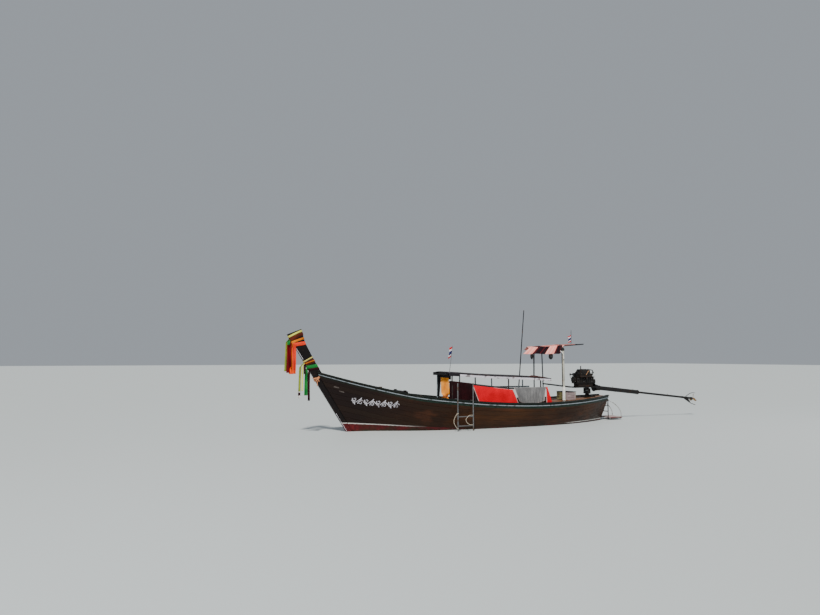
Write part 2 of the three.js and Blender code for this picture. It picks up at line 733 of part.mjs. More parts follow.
function platformFrame() {
  const { upright, fore, aft, tube } = PLATFORM;
  const sides = [1, -1].map((side) => {
    const y = side * PLATFORM.y;
    const path = [[upright, y * 0.85, 640], [-4640, y, 560], [-4850, y, 420], [-4985, y, 230],
      [aft, y, PLATFORM.z - 6]];
    const pad = [[upright, PAD.low], [plankEnd(PAD.low), PAD.low], [plankEnd(PAD.high), PAD.high],
      [upright, PAD.high]];
    return [
      bentTube(path, tube, 10), rod([aft, y, PLATFORM.z], [fore, y, PLATFORM.z], tube),
      rod([upright, y, PLATFORM.z], [upright, y, 650], tube),
      plate(pad, side * PAD.inside, side * PAD.outside),
    ];
  }).flat();
  const across = (x, z, radius) => rod([x, -PLATFORM.y, z], [x, PLATFORM.y, z], radius);
  const rungs = PLATFORM.rungs.map((z) => across(upright, z, 12));
  return join(...sides, across(aft, PLATFORM.z, tube), ...rungs);
}

function platformBoard() {
  const { fore, aft, half, thick } = PLATFORM_BOARD;
  const low = PLATFORM.z + PLATFORM.tube + SEAT;
  return block(aft, fore, -half, half, low, low + thick);
}

add('platform_frame', platformFrame(), 'steel');
add('platform_board', platformBoard(), 'deckWood');

// Crate on the aft deck
const CRATE = { x: [-3080, -2690], y: [-60, 400], top: 930, lip: 12, lid: 16 };

function crate() {
  const { x, y, top, lip, lid } = CRATE;
  const box = block(...x, ...y, deckTop(...x), top);
  const cover = block(x[0] - lip, x[1] + lip, y[0] - lip, y[1] + lip, top - 1, top + lid);
  return join(box, cover);
}

add('crate', crate(), 'crate');

// Top of the roof panel at its side, where a leg stands, and how steeply the panel falls outwards
const ROOF_TILT = 0.17;

function roofTop(x, y) {
  return roofUnder(x, y) + ROOF.thick + SEAT;
}

// Height of the awning cloth's flat top along the boat
function awningTop(x) {
  const t = (AWNING_TOP.x - x) / (AWNING_TOP.x - AWNING.aft);
  return AWNING_TOP.fore + (AWNING_TOP.aft - AWNING_TOP.fore) * t;
}

// Fore edge of the awning cloth at a place across the boat
function awningFore(y) {
  const [port, starboard] = AWNING_SIDES;
  return starboard.fore + (port.fore - starboard.fore) * (y / AWNING.half + 1) / 2;
}

// Awning frame: four legs, cross bars and two long poles. The rear legs lean in above a bend.
function awningFrame() {
  const { aft, poleY, pole, bar } = AWNING;
  const at = (x, y) => [x, y, awningTop(x) - AWNING.poleDrop];
  const poles = [poleY, -poleY].map((y) => rod(at(awningFore(y) - 20, y), at(aft + 20, y), pole));
  const legs = AWNING_LEGS.map((leg) => {
    const y = leg.side * leg.out;
    const top = at(leg.top, leg.side * poleY);
    const seat = leg.onRoof ? roofTop(leg.foot, y) : deckTop(leg.foot - leg.radius, leg.foot + leg.radius);
    const lean = Math.hypot(leg.top - leg.foot, leg.bent ? 0 : poleY - leg.out) / (top[2] - seat);
    const foot = [leg.foot, y, seat + (lean + (leg.onRoof ? ROOF_TILT : 0)) * leg.radius];
    if (!leg.bent) return rod(foot, top, leg.radius);
    const bend = [leg.top, y, AWNING_BEND];
    return join(rod(foot, bend, leg.radius), rod([leg.top, y, AWNING_BEND - 15], top, 19));
  });
  const [portFore, starboardFore, portRear, starboardRear] = AWNING_LEGS.map((leg) => leg.top);
  const bars = [[portFore, starboardFore], [portRear, starboardRear], [aft + 200, aft + 200]]
    .map(([port, starboard]) => rod(at(port, poleY), at(starboard, -poleY), bar));
  return join(...poles, ...legs, ...bars);
}

// Awning cloth: a sheet that rises aft, with sides that hang down towards the front
function awningCloth() {
  const rings = AWNING_DROP.map(([t, ease]) => {
    const along = (y) => awningFore(y) + (AWNING.aft - awningFore(y)) * t;
    const [port, starboard] = AWNING_SIDES.map(({ side, drop, reach }) => {
      const x = along(side * AWNING.half);
      const low = drop * ease;
      return [
        [x, side * AWNING.half, awningTop(x)],
        [x + reach * ease, side * (AWNING.half + 30 + low * 0.5), awningTop(x) - low],
      ];
    });
    const top = [starboard[1], starboard[0], port[0], port[1]];
    const under = top.map(([x, y, z]) => [x, y, z - CLOTH]).reverse();
    return [...top, ...under];
  });
  return loft(rings);
}

add('awning_frame', awningFrame(), 'steel');
add('awning_cloth', awningCloth(), 'stripeCloth');
const AFT_STAFF = { foot: [-2795, 590, awningTop(-2795) + 1.1], top: [-2805, 590, 2840] };
add('aft_flag_staff', staff(AFT_STAFF.foot, AFT_STAFF.top, STAFF.radius), 'darkWood');
add('aft_flag', flag(AFT_STAFF.foot, AFT_STAFF.top, [2825, 2590], [[-2930, 2795], [-2900, 2600]]),
  'redCloth');

// Ribbons: a tied collar round the prow post and the ends that hang from it
const STEM_AFT = {
  z: [60, 1900, STEM.neckAft[1], STEM.topAft[1]],
  x: [60, 1900].map((z) => STEM.foot - STEM.depth + STEM.lean * z),
};
STEM_AFT.x.push(STEM.neckAft[0], STEM.topAft[0]);

// Slab round the prow post between two heights, larger than it by a margin
function postSlab(low, high, margin) {
  const out = margin * Math.hypot(1, STEM.lean);
  const heights = [high, ...STEM_AFT.z.filter((z) => z > low && z < high).reverse(), low];
  const front = [low, high].map((z) => [STEM.foot + STEM.lean * z + out, z]);
  const aft = heights.map((z) => [straightBetween(STEM_AFT.z, STEM_AFT.x, z) - out, z]);
  return plate([...front, ...aft], -STEM.half - margin, STEM.half + margin);
}

function ribbons({ collarZ, low, high, hang }) {
  const thick = 18;
  const halfWidth = 45;
  const collar = postSlab(collarZ - 75, collarZ + 75, thick);
  const hole = postSlab(collarZ - 400, collarZ + 400, SEAT);
  const bundle = block(hang[0], hang[1], -halfWidth, halfWidth, low, high);
  return join(cut(collar, hole), cut(bundle, hole));
}

const RIBBONS = [
  { name: 'head_ribbons', collarZ: 2400, low: 1560, high: 2400, hang: [5600, 5900] },
  { name: 'neck_ribbons', collarZ: 1900, low: 850, high: 1850, hang: [5230, 5480] },
];
RIBBONS.forEach((row) => add(row.name, ribbons(row), 'ribbon'));

// Engine post on the aft deck
function enginePost() {
  const z = deckTop(SWIVEL.x - 220, SWIVEL.x + 220);
  const base = block(SWIVEL.x - 220, SWIVEL.x + 160, -130, 130, z, z + 30);
  const post = rod([SWIVEL.x, 0, z + 10], [SWIVEL.x, 0, 838], SWIVEL.postRadius, 16);
  return join(base, post);
}

add('engine_post', enginePost(), 'engine');

// Swivel yoke turns on the post and carries the tilt pin
const YOKE = { half: 110, cheek: 14, low: 838 + SEAT };

function yoke() {
  const plateDisc = rod([SWIVEL.x, 0, YOKE.low], [SWIVEL.x, 0, YOKE.low + 26], 80, 16);
  const floor = block(SWIVEL.x - 60, SWIVEL.x + 60, -YOKE.half - YOKE.cheek, YOKE.half + YOKE.cheek,
    YOKE.low + 12, YOKE.low + 30);
  const cheeks = [1, -1].map((side) => {
    const y = side * (YOKE.half + YOKE.cheek / 2);
    const [y0, y1] = [y - YOKE.cheek / 2, y + YOKE.cheek / 2];
    return block(SWIVEL.x - 45, SWIVEL.x + 45, y0, y1, YOKE.low + 14, TILT_Z + 40);
  });
  return join(plateDisc, floor, ...cheeks);
}

add('swivel_yoke', yoke(), 'engine');

// Engine: cradle with its tilt tube, block, head, pulley, tank, air cleaner and exhaust
const shaftZ = (x) => SHAFT.atPivot + SHAFT.slope * (x - SWIVEL.x);

function cradle() {
  const reach = YOKE.half - RUNNING_GAP;
  const tube = rod([SWIVEL.x, -reach, TILT_Z], [SWIVEL.x, reach, TILT_Z], 30, 12);
  const web = block(SWIVEL.x - 40, SWIVEL.x + 40, -50, 50, TILT_Z, 1050);
  const bearers = [1, -1].map((side) => block(-4080, -3240, side * 130 - 25, side * 130 + 25, 1040, 1075));
  const ties = [-3265, SWIVEL.x, -4040].map((x) => block(x - 25, x + 25, -155, 155, 1040, 1072));
  return join(tube, web, ...bearers, ...ties);
}

// Sump, crankcase, head and rocker cover as boxes, with the flywheel housing and the pulley
const ENGINE_BOXES = [
  { x0: -3960, x1: -3400, half: 120, z0: 1075 + SEAT, z1: 1180 },
  { x0: -4000, x1: -3330, half: 150, z0: 1170, z1: 1400 },
  { x0: -3960, x1: -3400, half: 115, z0: 1390, z1: 1490 },
  { x0: -3930, x1: -3430, half: 80, z0: 1485, z1: 1635 },
];

function engineBlock(grown = 0) {
  const boxes = ENGINE_BOXES.map(({ x0, x1, half, z0, z1 }) => block(
    x0 - grown, x1 + grown, -half - grown, half + grown, z0 - grown, z1 + grown));
  const flywheel = rod([-3990, 0, 1235], [-4074, 0, 1235], 150 + grown, 18);
  const pulley = rod([-3335, 0, 1290], [-3275, 0, 1290], 115 + grown, 14);
  return join(...boxes, flywheel, pulley);
}

function exhaust() {
  const manifold = block(-3880, -3480, 160, 200, 1360, 1420);
  const head = ENGINE_BOXES[2].half + SEAT;
  const ports = [-3840, -3680, -3520].map((x) => block(x - 20, x + 20, head, 165, 1400, 1436));
  const stack = rod([-3560, 180, 1400], [-3560, 180, 1735], 26, 10);
  return join(manifold, stack, ...ports);
}

function airCleaner() {
  const drum = rod([-3800, -215, 1480], [-3560, -215, 1480], 62, 12);
  const duct = block(-3700, -3660, -215, -ENGINE_BOXES[2].half - SEAT, 1410, 1450);
  return join(drum, duct);
}

add('engine_cradle', cradle(), 'engine');
add('engine_block', engineBlock(), 'engine');
add('exhaust', cut(exhaust(), engineBlock(SEAT)), 'engine');
add('air_cleaner', cut(airCleaner(), engineBlock(SEAT)), 'engine');

// Tiller bar on the cradle's front
function tiller() {
  const [tipX, tipZ] = TILLER.tip;
  const [rootX, rootZ] = TILLER.root;
  return rod([rootX, 0, rootZ], [tipX, 0, tipZ], TILLER.radius, 10);
}

add('tiller', tiller(), 'engine');

// Tail: bell housing, thick shaft housing, thin tube, skeg and guard
function tail() {
  const onShaft = (x) => [x, 0, shaftZ(x)];
  const tubeEnd = TAIL.propeller + (TAIL.hub / 2 + RUNNING_GAP) * Math.cos(Math.atan(SHAFT.slope));
  const bell = rod(onShaft(TAIL.bell), onShaft(-4300), 120, 14, 78);
  const housing = rod(onShaft(-4250), onShaft(TAIL.housingEnd), TAIL.housingRadius, 12);
  const tube = rod(onShaft(TAIL.housingEnd + 40), onShaft(tubeEnd), TAIL.tubeRadius, 10);
  return join(bell, housing, tube, skeg(), propellerGuard());
}

// Blade under the tube's end that guards the propeller from below
function skeg() {
  const outline = [
    [-7860, shaftZ(-7860)], [-7970, shaftZ(-7970) - 60], [-8250, 400], [-8450, 338],
    [-8450, 358], [-8240, 422], [-8110, shaftZ(-8110)],
  ];
  return plate(outline, -8, 8);
}

// Bent bar that passes over the propeller: places along it and their heights above the shaft
function propellerGuard() {
  const thick = 16;
  const path = [[-8020, 24], [-8130, 100], [-8240, 160], [-8350, 188], [-8450, 190]];
  const low = path.map(([x, above]) => [x, shaftZ(x) + above]);
  const high = low.map(([x, z]) => [x, z + thick]).reverse();
  return plate([...low, ...high], -thick / 2, thick / 2);
}

add('tail_housing', tail(), 'engine');

// Propeller: hub and three twisted blades on the shaft's end
// Sections of a blade out from the shaft: radius, chord, thickness and pitch angle
const BLADE = [
  { r: 10, chord: 28, thick: 9, pitch: 0.9 }, { r: 70, chord: 70, thick: 7, pitch: 0.65 },
  { r: 125, chord: 76, thick: 5, pitch: 0.5 }, { r: 158, chord: 38, thick: 3, pitch: 0.42 },
];

function propeller() {
  const hub = new THREE.CylinderGeometry(20, 28, TAIL.hub, 12).rotateZ(Math.PI / 2);
  const blades = [0, 1, 2].map((i) => {
    const rings = BLADE.map(({ r, chord, thick, pitch }) => {
      const along = new THREE.Vector2(chord / 2, 0).rotateAround(new THREE.Vector2(), pitch);
      const side = new THREE.Vector2(0, thick / 2).rotateAround(new THREE.Vector2(), pitch);
      return [[-1, -1], [-1, 1], [1, 1], [1, -1]].map(([a, b]) => [
        along.x * a + side.x * b, along.y * a + side.y * b, r]);
    });
    return loft(rings).rotateX(i * Math.PI * 2 / 3);
  });
  const spin = join(hub, ...blades);
  spin.rotateY(-Math.atan(SHAFT.slope));
  return spin.translate(TAIL.propeller, 0, shaftZ(TAIL.propeller));
}

add('propeller', propeller(), 'bronze');

export default group;
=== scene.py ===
# %% [markdown]
# # Longtail boat
# A planked wooden boat lies afloat, seen from its port side a little forward of the beam. The
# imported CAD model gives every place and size, and these cells add what Blender is good at: planks
# with seams, varnish and worn paint, cloth with folds, rope, and an engine that shows its parts.
#
# # The frame
# All pieces are made in metres in the boat's own frame: +X to the bow, +Y to port, z = 0 at the
# water. Loading the frame first means that nothing here has to be fitted afterwards.

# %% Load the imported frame
import math
import random

import bmesh
import bpy
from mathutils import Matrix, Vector


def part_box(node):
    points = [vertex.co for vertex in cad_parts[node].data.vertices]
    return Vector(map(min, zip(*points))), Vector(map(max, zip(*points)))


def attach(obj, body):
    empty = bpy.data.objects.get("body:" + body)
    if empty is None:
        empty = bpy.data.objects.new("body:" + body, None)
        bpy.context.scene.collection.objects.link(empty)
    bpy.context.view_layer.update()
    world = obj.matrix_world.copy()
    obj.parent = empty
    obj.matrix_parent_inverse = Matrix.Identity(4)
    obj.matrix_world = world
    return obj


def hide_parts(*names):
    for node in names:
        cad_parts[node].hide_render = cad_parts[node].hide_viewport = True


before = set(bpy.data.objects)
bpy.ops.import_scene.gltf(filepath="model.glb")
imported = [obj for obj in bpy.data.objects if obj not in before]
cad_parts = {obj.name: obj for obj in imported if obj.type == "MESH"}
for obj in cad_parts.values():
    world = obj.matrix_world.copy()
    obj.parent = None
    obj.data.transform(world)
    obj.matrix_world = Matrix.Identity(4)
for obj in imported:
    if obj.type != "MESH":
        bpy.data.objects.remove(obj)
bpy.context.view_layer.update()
PORT, STARBOARD = 1, -1
SIDES = (("port", PORT), ("starboard", STARBOARD))

# %% [markdown]
# # The camera
# The photograph was taken from about 16 m off the port bow at standing height, with a wide lens
# that looks a little up. The place and angle were found by matching known points of the boat, such
# as the stem at the water, the head of the prow post and the propeller, with the picture. The
# photograph shows no cord that belongs to the part, so no cord is declared.

# %% Camera at the photograph's place
CAMERA_PLACE = (8.7925, 15.9411, 2.0)
LOOK_LEVEL = (-0.37532, -0.92690)
LOOK_UP = math.radians(4.764)
LENS = 26.341

camera_data = bpy.data.cameras.new("photo_camera")
camera_data.sensor_width = 36
camera_data.lens = LENS
camera_data.clip_end = 500
camera = bpy.data.objects.new("photo_camera", camera_data)
bpy.context.scene.collection.objects.link(camera)
camera.location = CAMERA_PLACE
camera.rotation_mode = "QUATERNION"
look = Vector((*(c * math.cos(LOOK_UP) for c in LOOK_LEVEL), math.sin(LOOK_UP)))
camera.rotation_quaternion = look.to_track_quat("-Z", "Y")
bpy.context.scene.camera = camera
print("camera", tuple(round(c, 2) for c in camera.location), "lens", LENS)

# %% [markdown]
# # Floor and light
# The boat floats, so its floor is a plain pale sheet at the water's height. A broad soft sun stands
# high over the port bow, as in the photograph, and a pale world fills the shadows.

# %% Stage and lights
def new_object(name, data):
    made = bpy.data.objects.new(name, data)
    bpy.context.scene.collection.objects.link(made)
    return made


def pale_floor():
    reach = 150
    mesh = bpy.data.meshes.new("pale_floor")
    corners = [(-reach, -reach, 0), (reach, -reach, 0), (reach, reach, 0), (-reach, reach, 0)]
    mesh.from_pydata(corners, [], [(0, 1, 2, 3)])
    material = bpy.data.materials.new("pale_floor")
    material.use_nodes = True
    shader = material.node_tree.nodes["Principled BSDF"]
    shader.inputs["Base Color"].default_value = (0.50, 0.545, 0.56, 1)
    shader.inputs["Roughness"].default_value = 0.55
    mesh.materials.append(material)
    return new_object("pale_floor", mesh)


def light(name, kind, place, aim, strength, colour, **settings):
    data = bpy.data.lights.new(name, kind)
    data.energy = strength
    data.color = colour
    for key, value in settings.items():
        setattr(data, key, value)
    lamp = new_object(name, data)
    lamp.location = place
    lamp.rotation_mode = "QUATERNION"
    lamp.rotation_quaternion = (Vector(aim) - Vector(place)).to_track_quat("-Z", "Y")
    return lamp


pale_floor()
light("soft_sun", "SUN", (6, 9, 16), (0, 0, 1), 4.4, (1, 0.95, 0.87), angle=math.radians(6))
light("bow_fill", "AREA", (12, 12, 7), (1, 0, 1), 300, (0.92, 0.96, 1), size=9)
light("stern_fill", "AREA", (-10, 10, 6), (-2, 0, 1), 180, (0.95, 0.97, 1), size=8)
world = bpy.data.worlds.new("pale_world")
bpy.context.scene.world = world
world.use_nodes = True
sky = world.node_tree.nodes["Background"]
sky.inputs["Color"].default_value = (0.80, 0.87, 0.95, 1)
sky.inputs["Strength"].default_value = 0.42
print("lights:", len(bpy.data.lights))

# %% [markdown]
# # A maker's bench for shapes
# Most pieces are planks, bars, tubes and strips. `Shape` collects their corners and faces in one
# mesh, so a piece such as the engine's casting can be built of many small forms and still be one
# object. A tube is swept by carrying a ring along a path and turning it as little as possible.

# %% Shape: corners and faces of one piece
class Shape:
    def __init__(self):
        self.corners = []
        self.faces = []
        self.paints = []

    def add(self, corners, faces, paint=0):
        start = len(self.corners)
        self.corners += [tuple(c) for c in corners]
        self.faces += [tuple(start + i for i in face) for face in faces]
        self.paints += [paint] * len(faces)
        return self

    def box(self, low, high, paint=0):
        (x0, y0, z0), (x1, y1, z1) = low, high
        corners = [(x, y, z) for x in (x0, x1) for y in (y0, y1) for z in (z0, z1)]
        faces = [(0, 1, 3, 2), (4, 6, 7, 5), (0, 4, 5, 1), (2, 3, 7, 6), (0, 2, 6, 4), (1, 5, 7, 3)]
        return self.add(corners, faces, paint)

    def loft(self, rings, paint=0, caps=True):
        count = len(rings[0])
        corners = [p for ring in rings for p in ring]
        faces = []
        for r in range(len(rings) - 1):
            for k in range(count):
                n = (k + 1) % count
                faces.append((r * count + k, r * count + n, (r + 1) * count + n, (r + 1) * count + k))
        if caps:
            faces.append(tuple(range(count))[::-1])
            faces.append(tuple((len(rings) - 1) * count + k for k in range(count)))
        return self.add(corners, faces, paint)

    def tube(self, path, radius, sides=10, paint=0, closed=False):
        points = [Vector(p) for p in path]
        radii = radius if hasattr(radius, "__len__") else [radius] * len(points)
        rings, normal = [], None
        for i, point in enumerate(points):
            ahead = points[(i + 1) % len(points)] if closed or i + 1 < len(points) else point
            behind = points[i - 1] if closed or i else point
            along = (ahead - behind).normalized()
            if normal is None:
                normal = along.orthogonal().normalized()
            normal = (normal - along * normal.dot(along)).normalized()
            across = along.cross(normal)
            turns = [2 * math.pi * k / sides for k in range(sides)]
            rings.append([point + (normal * math.cos(a) + across * math.sin(a)) * radii[i]
                          for a in turns])
        if closed:
            rings.append(rings[0])
        return self.loft(rings, paint, caps=not closed)

    def bar(self, start, end, radius):
        return self.tube([start, end], radius, 12)

    def turned(self, centre, axis, profile, sides=20, paint=0):
        """A lathe piece: profile rows are (distance along the axis, radius)."""
        axis = Vector(axis).normalized()
        path = [Vector(centre) + axis * d for d, _ in profile]
        side = axis.orthogonal().normalized()
        across = axis.cross(side)
        turns = [2 * math.pi * k / sides for k in range(sides)]
        rings = [[p + (side * math.cos(a) + across * math.sin(a)) * max(r, 1e-4) for a in turns]
                 for p, (_, r) in zip(path, profile)]
        return self.loft(rings, paint)

    def piece(self, name, materials, slot, body="root", smooth=35, bevel=0, replaces=()):
        mesh = bpy.data.meshes.new(name)
        mesh.from_pydata(self.corners, [], self.faces)
        made = new_object(name, mesh)
        for material in materials if isinstance(materials, (list, tuple)) else [materials]:
            mesh.materials.append(material)
        mesh.polygons.foreach_set("material_index", self.paints)
        mesh.validate()
        outward(mesh)
        if smooth:
            mesh.shade_smooth()
            mesh.set_sharp_from_angle(angle=math.radians(smooth))
        if bevel:
            soften_edges(made, bevel)
        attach(made, body)
        if replaces:
            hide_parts(*([replaces] if isinstance(replaces, str) else replaces))
        return made


def outward(mesh):
    """Turns each closed form's faces outwards."""
    work = bmesh.new()
    work.from_mesh(mesh)
    bmesh.ops.recalc_face_normals(work, faces=work.faces)
    work.to_mesh(mesh)
    work.free()


def soften_edges(piece, width):
    bevel = piece.modifiers.new("soft_edges", "BEVEL")
    bevel.width = width
    bevel.segments = 2
    bevel.limit_method = "ANGLE"
    bevel.angle_limit = math.radians(40)
    bevel.harden_normals = True


print("shape bench ready")

# %% [markdown]
# # A maker's bench for finishes
# Each finish is a material made of nodes, so that it has no single flat colour. `Finish` wraps noise
# along the grain, masks from the place on the boat, mixed colours and a bump, all in the boat's own
# coordinates, so a paint line runs straight from one plank to the next.

# %% Finish: one procedural material
class Finish:
    def __init__(self, name, roughness=0.5, metallic=0.0, **sockets):
        self.material = bpy.data.materials.new(name)
        self.material.use_nodes = True
        self.tree = self.material.node_tree
        self.shader = self.tree.nodes["Principled BSDF"]
        self.shader.inputs["Roughness"].default_value = roughness
        self.shader.inputs["Metallic"].default_value = metallic
        for key, value in sockets.items():
            self.shader.inputs[key.replace("_", " ")].default_value = value
        self.coords = self.tree.nodes.new("ShaderNodeTexCoord").outputs["Object"]

    def node(self, kind, **inputs):
        made = self.tree.nodes.new(kind)
        for key, value in inputs.items():
            self.feed(made.inputs[key], value)
        return made.outputs[0]

    def feed(self, socket, value):
        if isinstance(value, bpy.types.NodeSocket):
            self.tree.links.new(value, socket)
        elif hasattr(value, "__len__") and len(value) == 3 and socket.type == "RGBA":
            socket.default_value = (*value, 1)
        else:
            socket.default_value = value

    def place(self, scale=(1, 1, 1), shift=(0, 0, 0), turn=(0, 0, 0)):
        made = self.tree.nodes.new("ShaderNodeMapping")
        self.tree.links.new(self.coords, made.inputs["Vector"])
        made.inputs["Scale"].default_value = scale
        made.inputs["Location"].default_value = shift
        made.inputs["Rotation"].default_value = turn
        return made.outputs[0]

    def noise(self, scale, stretch=(1, 1, 1), detail=3, shift=(0, 0, 0)):
        return self.node("ShaderNodeTexNoise", Vector=self.place(stretch, shift), Scale=scale,
                         Detail=detail)

    def weave(self, scale, turn=(0, 0, 0), distortion=0.4):
        made = self.tree.nodes.new("ShaderNodeTexWave")
        self.feed(made.inputs["Vector"], self.place(turn=turn))
        self.feed(made.inputs["Scale"], scale)
        self.feed(made.inputs["Distortion"], distortion)
        return made.outputs["Fac"]

    def sum(self, operation, a, b, clamp=False):
        made = self.tree.nodes.new("ShaderNodeMath")
        made.operation = operation
        made.use_clamp = clamp
        self.feed(made.inputs[0], a)
        self.feed(made.inputs[1], b)
        return made.outputs[0]

    def step(self, value, start, end, low=0.0, high=1.0):
        """Runs from low to high as the value goes from start to end."""
        made = self.tree.nodes.new("ShaderNodeMapRange")
        self.feed(made.inputs["Value"], value)
        for key, number in (("From Min", start), ("From Max", end), ("To Min", low), ("To Max", high)):
            made.inputs[key].default_value = number
        return made.outputs[0]

    def axis(self, letter):
        made = self.tree.nodes.new("ShaderNodeSeparateXYZ")
        self.tree.links.new(self.coords, made.inputs[0])
        return made.outputs["XYZ".index(letter)]

    def attribute(self, name):
        made = self.tree.nodes.new("ShaderNodeAttribute")
        made.attribute_name = name
        return made.outputs["Fac"]

    def mix(self, amount, a, b):
        made = self.tree.nodes.new("ShaderNodeMix")
        made.data_type = "RGBA"
        self.feed(made.inputs["Factor"], amount)
        self.feed(made.inputs[6], a)
        self.feed(made.inputs[7], b)
        return made.outputs[2]

    def colour(self, value):
        self.feed(self.shader.inputs["Base Color"], value)
        return self

    def rough(self, value):
        self.feed(self.shader.inputs["Roughness"], value)
        return self

    def bump(self, height, strength=0.3, distance=0.002):
        made = self.tree.nodes.new("ShaderNodeBump")
        made.inputs["Strength"].default_value = strength
        made.inputs["Distance"].default_value = distance
        self.tree.links.new(height, made.inputs["Height"])
        self.tree.links.new(made.outputs[0], self.shader.inputs["Normal"])
        return self.material


print("finish bench ready")

# %% [markdown]
# # Varnish, paint and timber
# The planking is one finish with several paints: varnish, a red bottom under a white line, and green
# under the gunwale, each put in place by masks. The paint wears through along a noise, and each plank
# carries its own tone. Separate pieces for each paint would show joints that the boat hasn't.

# %% Hull finishes
GREEN_DEPTH = (0.125, 0.128)
BOOT_LINE = {"stem": 0.232, "waist": 0.035, "stern_rise": 0.03, "edge": (0.013, 0.0115)}


def planking_finish():
    """Varnish, green under the gunwale, a pale boot line and a red bottom, all by place."""
    brown, chestnut, reddish = (0.026, 0.0085, 0.0026), (0.070, 0.025, 0.0068), (0.078, 0.025, 0.009)
    bow_black, seam_black, old_brown = (0.0085, 0.0028, 0.0028), (0.006, 0.004, 0.003), (0.022, 0.012, 0.006)
    green_shade, green_light = (0.0045, 0.015, 0.010), (0.010, 0.032, 0.022)
    near_water_dark_green = (0.012, 0.022, 0.010)
    red_shade, red_light, red_grown = (0.060, 0.006, 0.008), (0.135, 0.012, 0.014), (0.020, 0.024, 0.012)
    line_white = (0.62, 0.60, 0.57)

    f = Finish("varnished_planks", 0.42, Coat_Weight=0.04, Coat_Roughness=0.25, Specular_IOR_Level=0.14)
    x, z = f.axis("X"), f.axis("Z")
    tone = f.attribute("plank_tone")
    below = f.attribute("below_sheer")
    grain = f.noise(9, (0.35, 6, 6), 5)
    patches = f.noise(1.6, (0.5, 1, 1.6), 3)
    warm = f.mix(f.step(patches, 0.35, 0.7), brown, chestnut)
    warm = f.mix(f.step(f.noise(3.1, (0.35, 1, 1), 2, (5, 2, 1)), 0.56, 0.68), warm, reddish)
    wood = f.mix(f.step(x, 1.4, 3.9), warm, bow_black)
    wood = f.mix(f.step(grain, 0.32, 0.62), f.mix(0.55, wood, seam_black), wood)
    wood = f.mix(f.step(tone, 0.0, 1.0, 0.0, 0.45), wood, old_brown)

    wear = f.noise(14, (1, 1, 1), 6)
    green = f.mix(f.step(wear, 0.4, 0.62), green_shade, green_light)
    wide = f.step(below, *GREEN_DEPTH, 1, 0)
    wood = f.mix(f.sum("MULTIPLY", wide, f.step(x, 3.7, 2.2, 0.25, 0.9)), wood, green)

    at_bow = f.step(x, 0.8, 4.25, BOOT_LINE["waist"], BOOT_LINE["stem"])
    line_height = f.sum("ADD", at_bow, f.step(x, -1.2, -4.2, 0, BOOT_LINE["stern_rise"]))
    above = f.sum("SUBTRACT", z, line_height)
    ragged = f.sum("ADD", above, f.step(wear, 0.3, 0.7, -0.004, 0.004))
    red = f.mix(f.step(wear, 0.35, 0.7), red_shade, red_light)
    red = f.mix(f.step(f.noise(2.2, (1, 1, 2), 3, (3, 1, 0)), 0.45, 0.75), red, red_grown)
    wood = f.mix(f.step(ragged, 0.002, -0.002), wood, red)
    # The pale line is painted only towards the ends; amidships it is left out as painted shade, where the
    # line lies in shade
    line_out_of_shade = f.sum("ADD", f.step(x, 2.1, 3.1), f.step(x, -2.3, -2.7), clamp=True)
    line = f.step(f.sum("ABSOLUTE", ragged, 0), *BOOT_LINE["edge"])
    line = f.sum("MULTIPLY", line, f.sum("MULTIPLY", line_out_of_shade, f.step(wear, 0.30, 0.5, 0.55, 1)))
    wood = f.mix(line, wood, line_white)
    # Darker green towards the water, over the hull's lowest 55 mm
    near_water_mask = f.step(f.sum("ADD", z, f.step(wear, 0.3, 0.7, -0.02, 0.02)), 0.055, 0.0)
    wood = f.mix(f.sum("MULTIPLY", near_water_mask, 0.75), wood, near_water_dark_green)
    f.colour(wood)
    f.rough(f.step(wear, 0.3, 0.75, 0.32, 0.56))
    return f.bump(f.sum("ADD", grain, f.sum("MULTIPLY", wear, 0.4)), 0.35, 0.0015)


def timber_finish(name, light_wood, dark_wood, roughness, grey=0.0, along="x"):
    """Bare, oiled or painted boards with grain along them."""
    f = Finish(name, roughness)
    stretch = {"x": (0.5, 7, 7), "y": (7, 0.5, 7), "z": (7, 7, 0.5)}[along]
    grain = f.noise(8, stretch, 6)
    knots = f.noise(2.3, (0.6, 1.2, 1.2), 3, (4, 4, 4))
    wood = f.mix(f.step(grain, 0.3, 0.68), dark_wood, light_wood)
    wood = f.mix(f.step(f.attribute("plank_tone"), 0, 1, 0, 0.4), wood, dark_wood)
    wood = f.mix(f.step(knots, 0.5, 0.75, 0, 0.5), wood, dark_wood)
    worn = f.step(f.noise(5, (1, 1, 1), 5, (1, 7, 3)), 0.48, 0.7, 0, grey)
    weathered_grey = (0.34, 0.32, 0.29)
    f.colour(f.mix(worn, wood, weathered_grey))
    f.rough(f.step(grain, 0.25, 0.75, roughness - 0.08, roughness + 0.12))
    return f.bump(grain, 0.45, 0.0018)


def paint_finish(name, paint, under, roughness, wear=0.12, scale=11, metallic=0.0, coat=0.0):
    """Brushed paint that has chipped to what is under it."""
    f = Finish(name, roughness, metallic, Coat_Weight=coat, Coat_Roughness=0.2, Specular_IOR_Level=0.18)
    chips = f.noise(scale, (1, 1, 1), 7)
    streaks = f.noise(scale * 0.6, (0.3, 2, 2), 4, (2, 5, 1))
    faded = f.mix(f.step(streaks, 0.35, 0.7, 0, 0.6), paint, tuple(c * 0.6 for c in paint))
    f.colour(f.mix(f.step(chips, 0.70 - wear, 0.73 - wear * 0.6), faded, under))
    f.rough(f.step(chips, 0.3, 0.8, max(roughness - 0.1, 0.05), min(roughness + 0.18, 1)))
    return f.bump(f.sum("ADD", chips, streaks), 0.25, 0.0012)


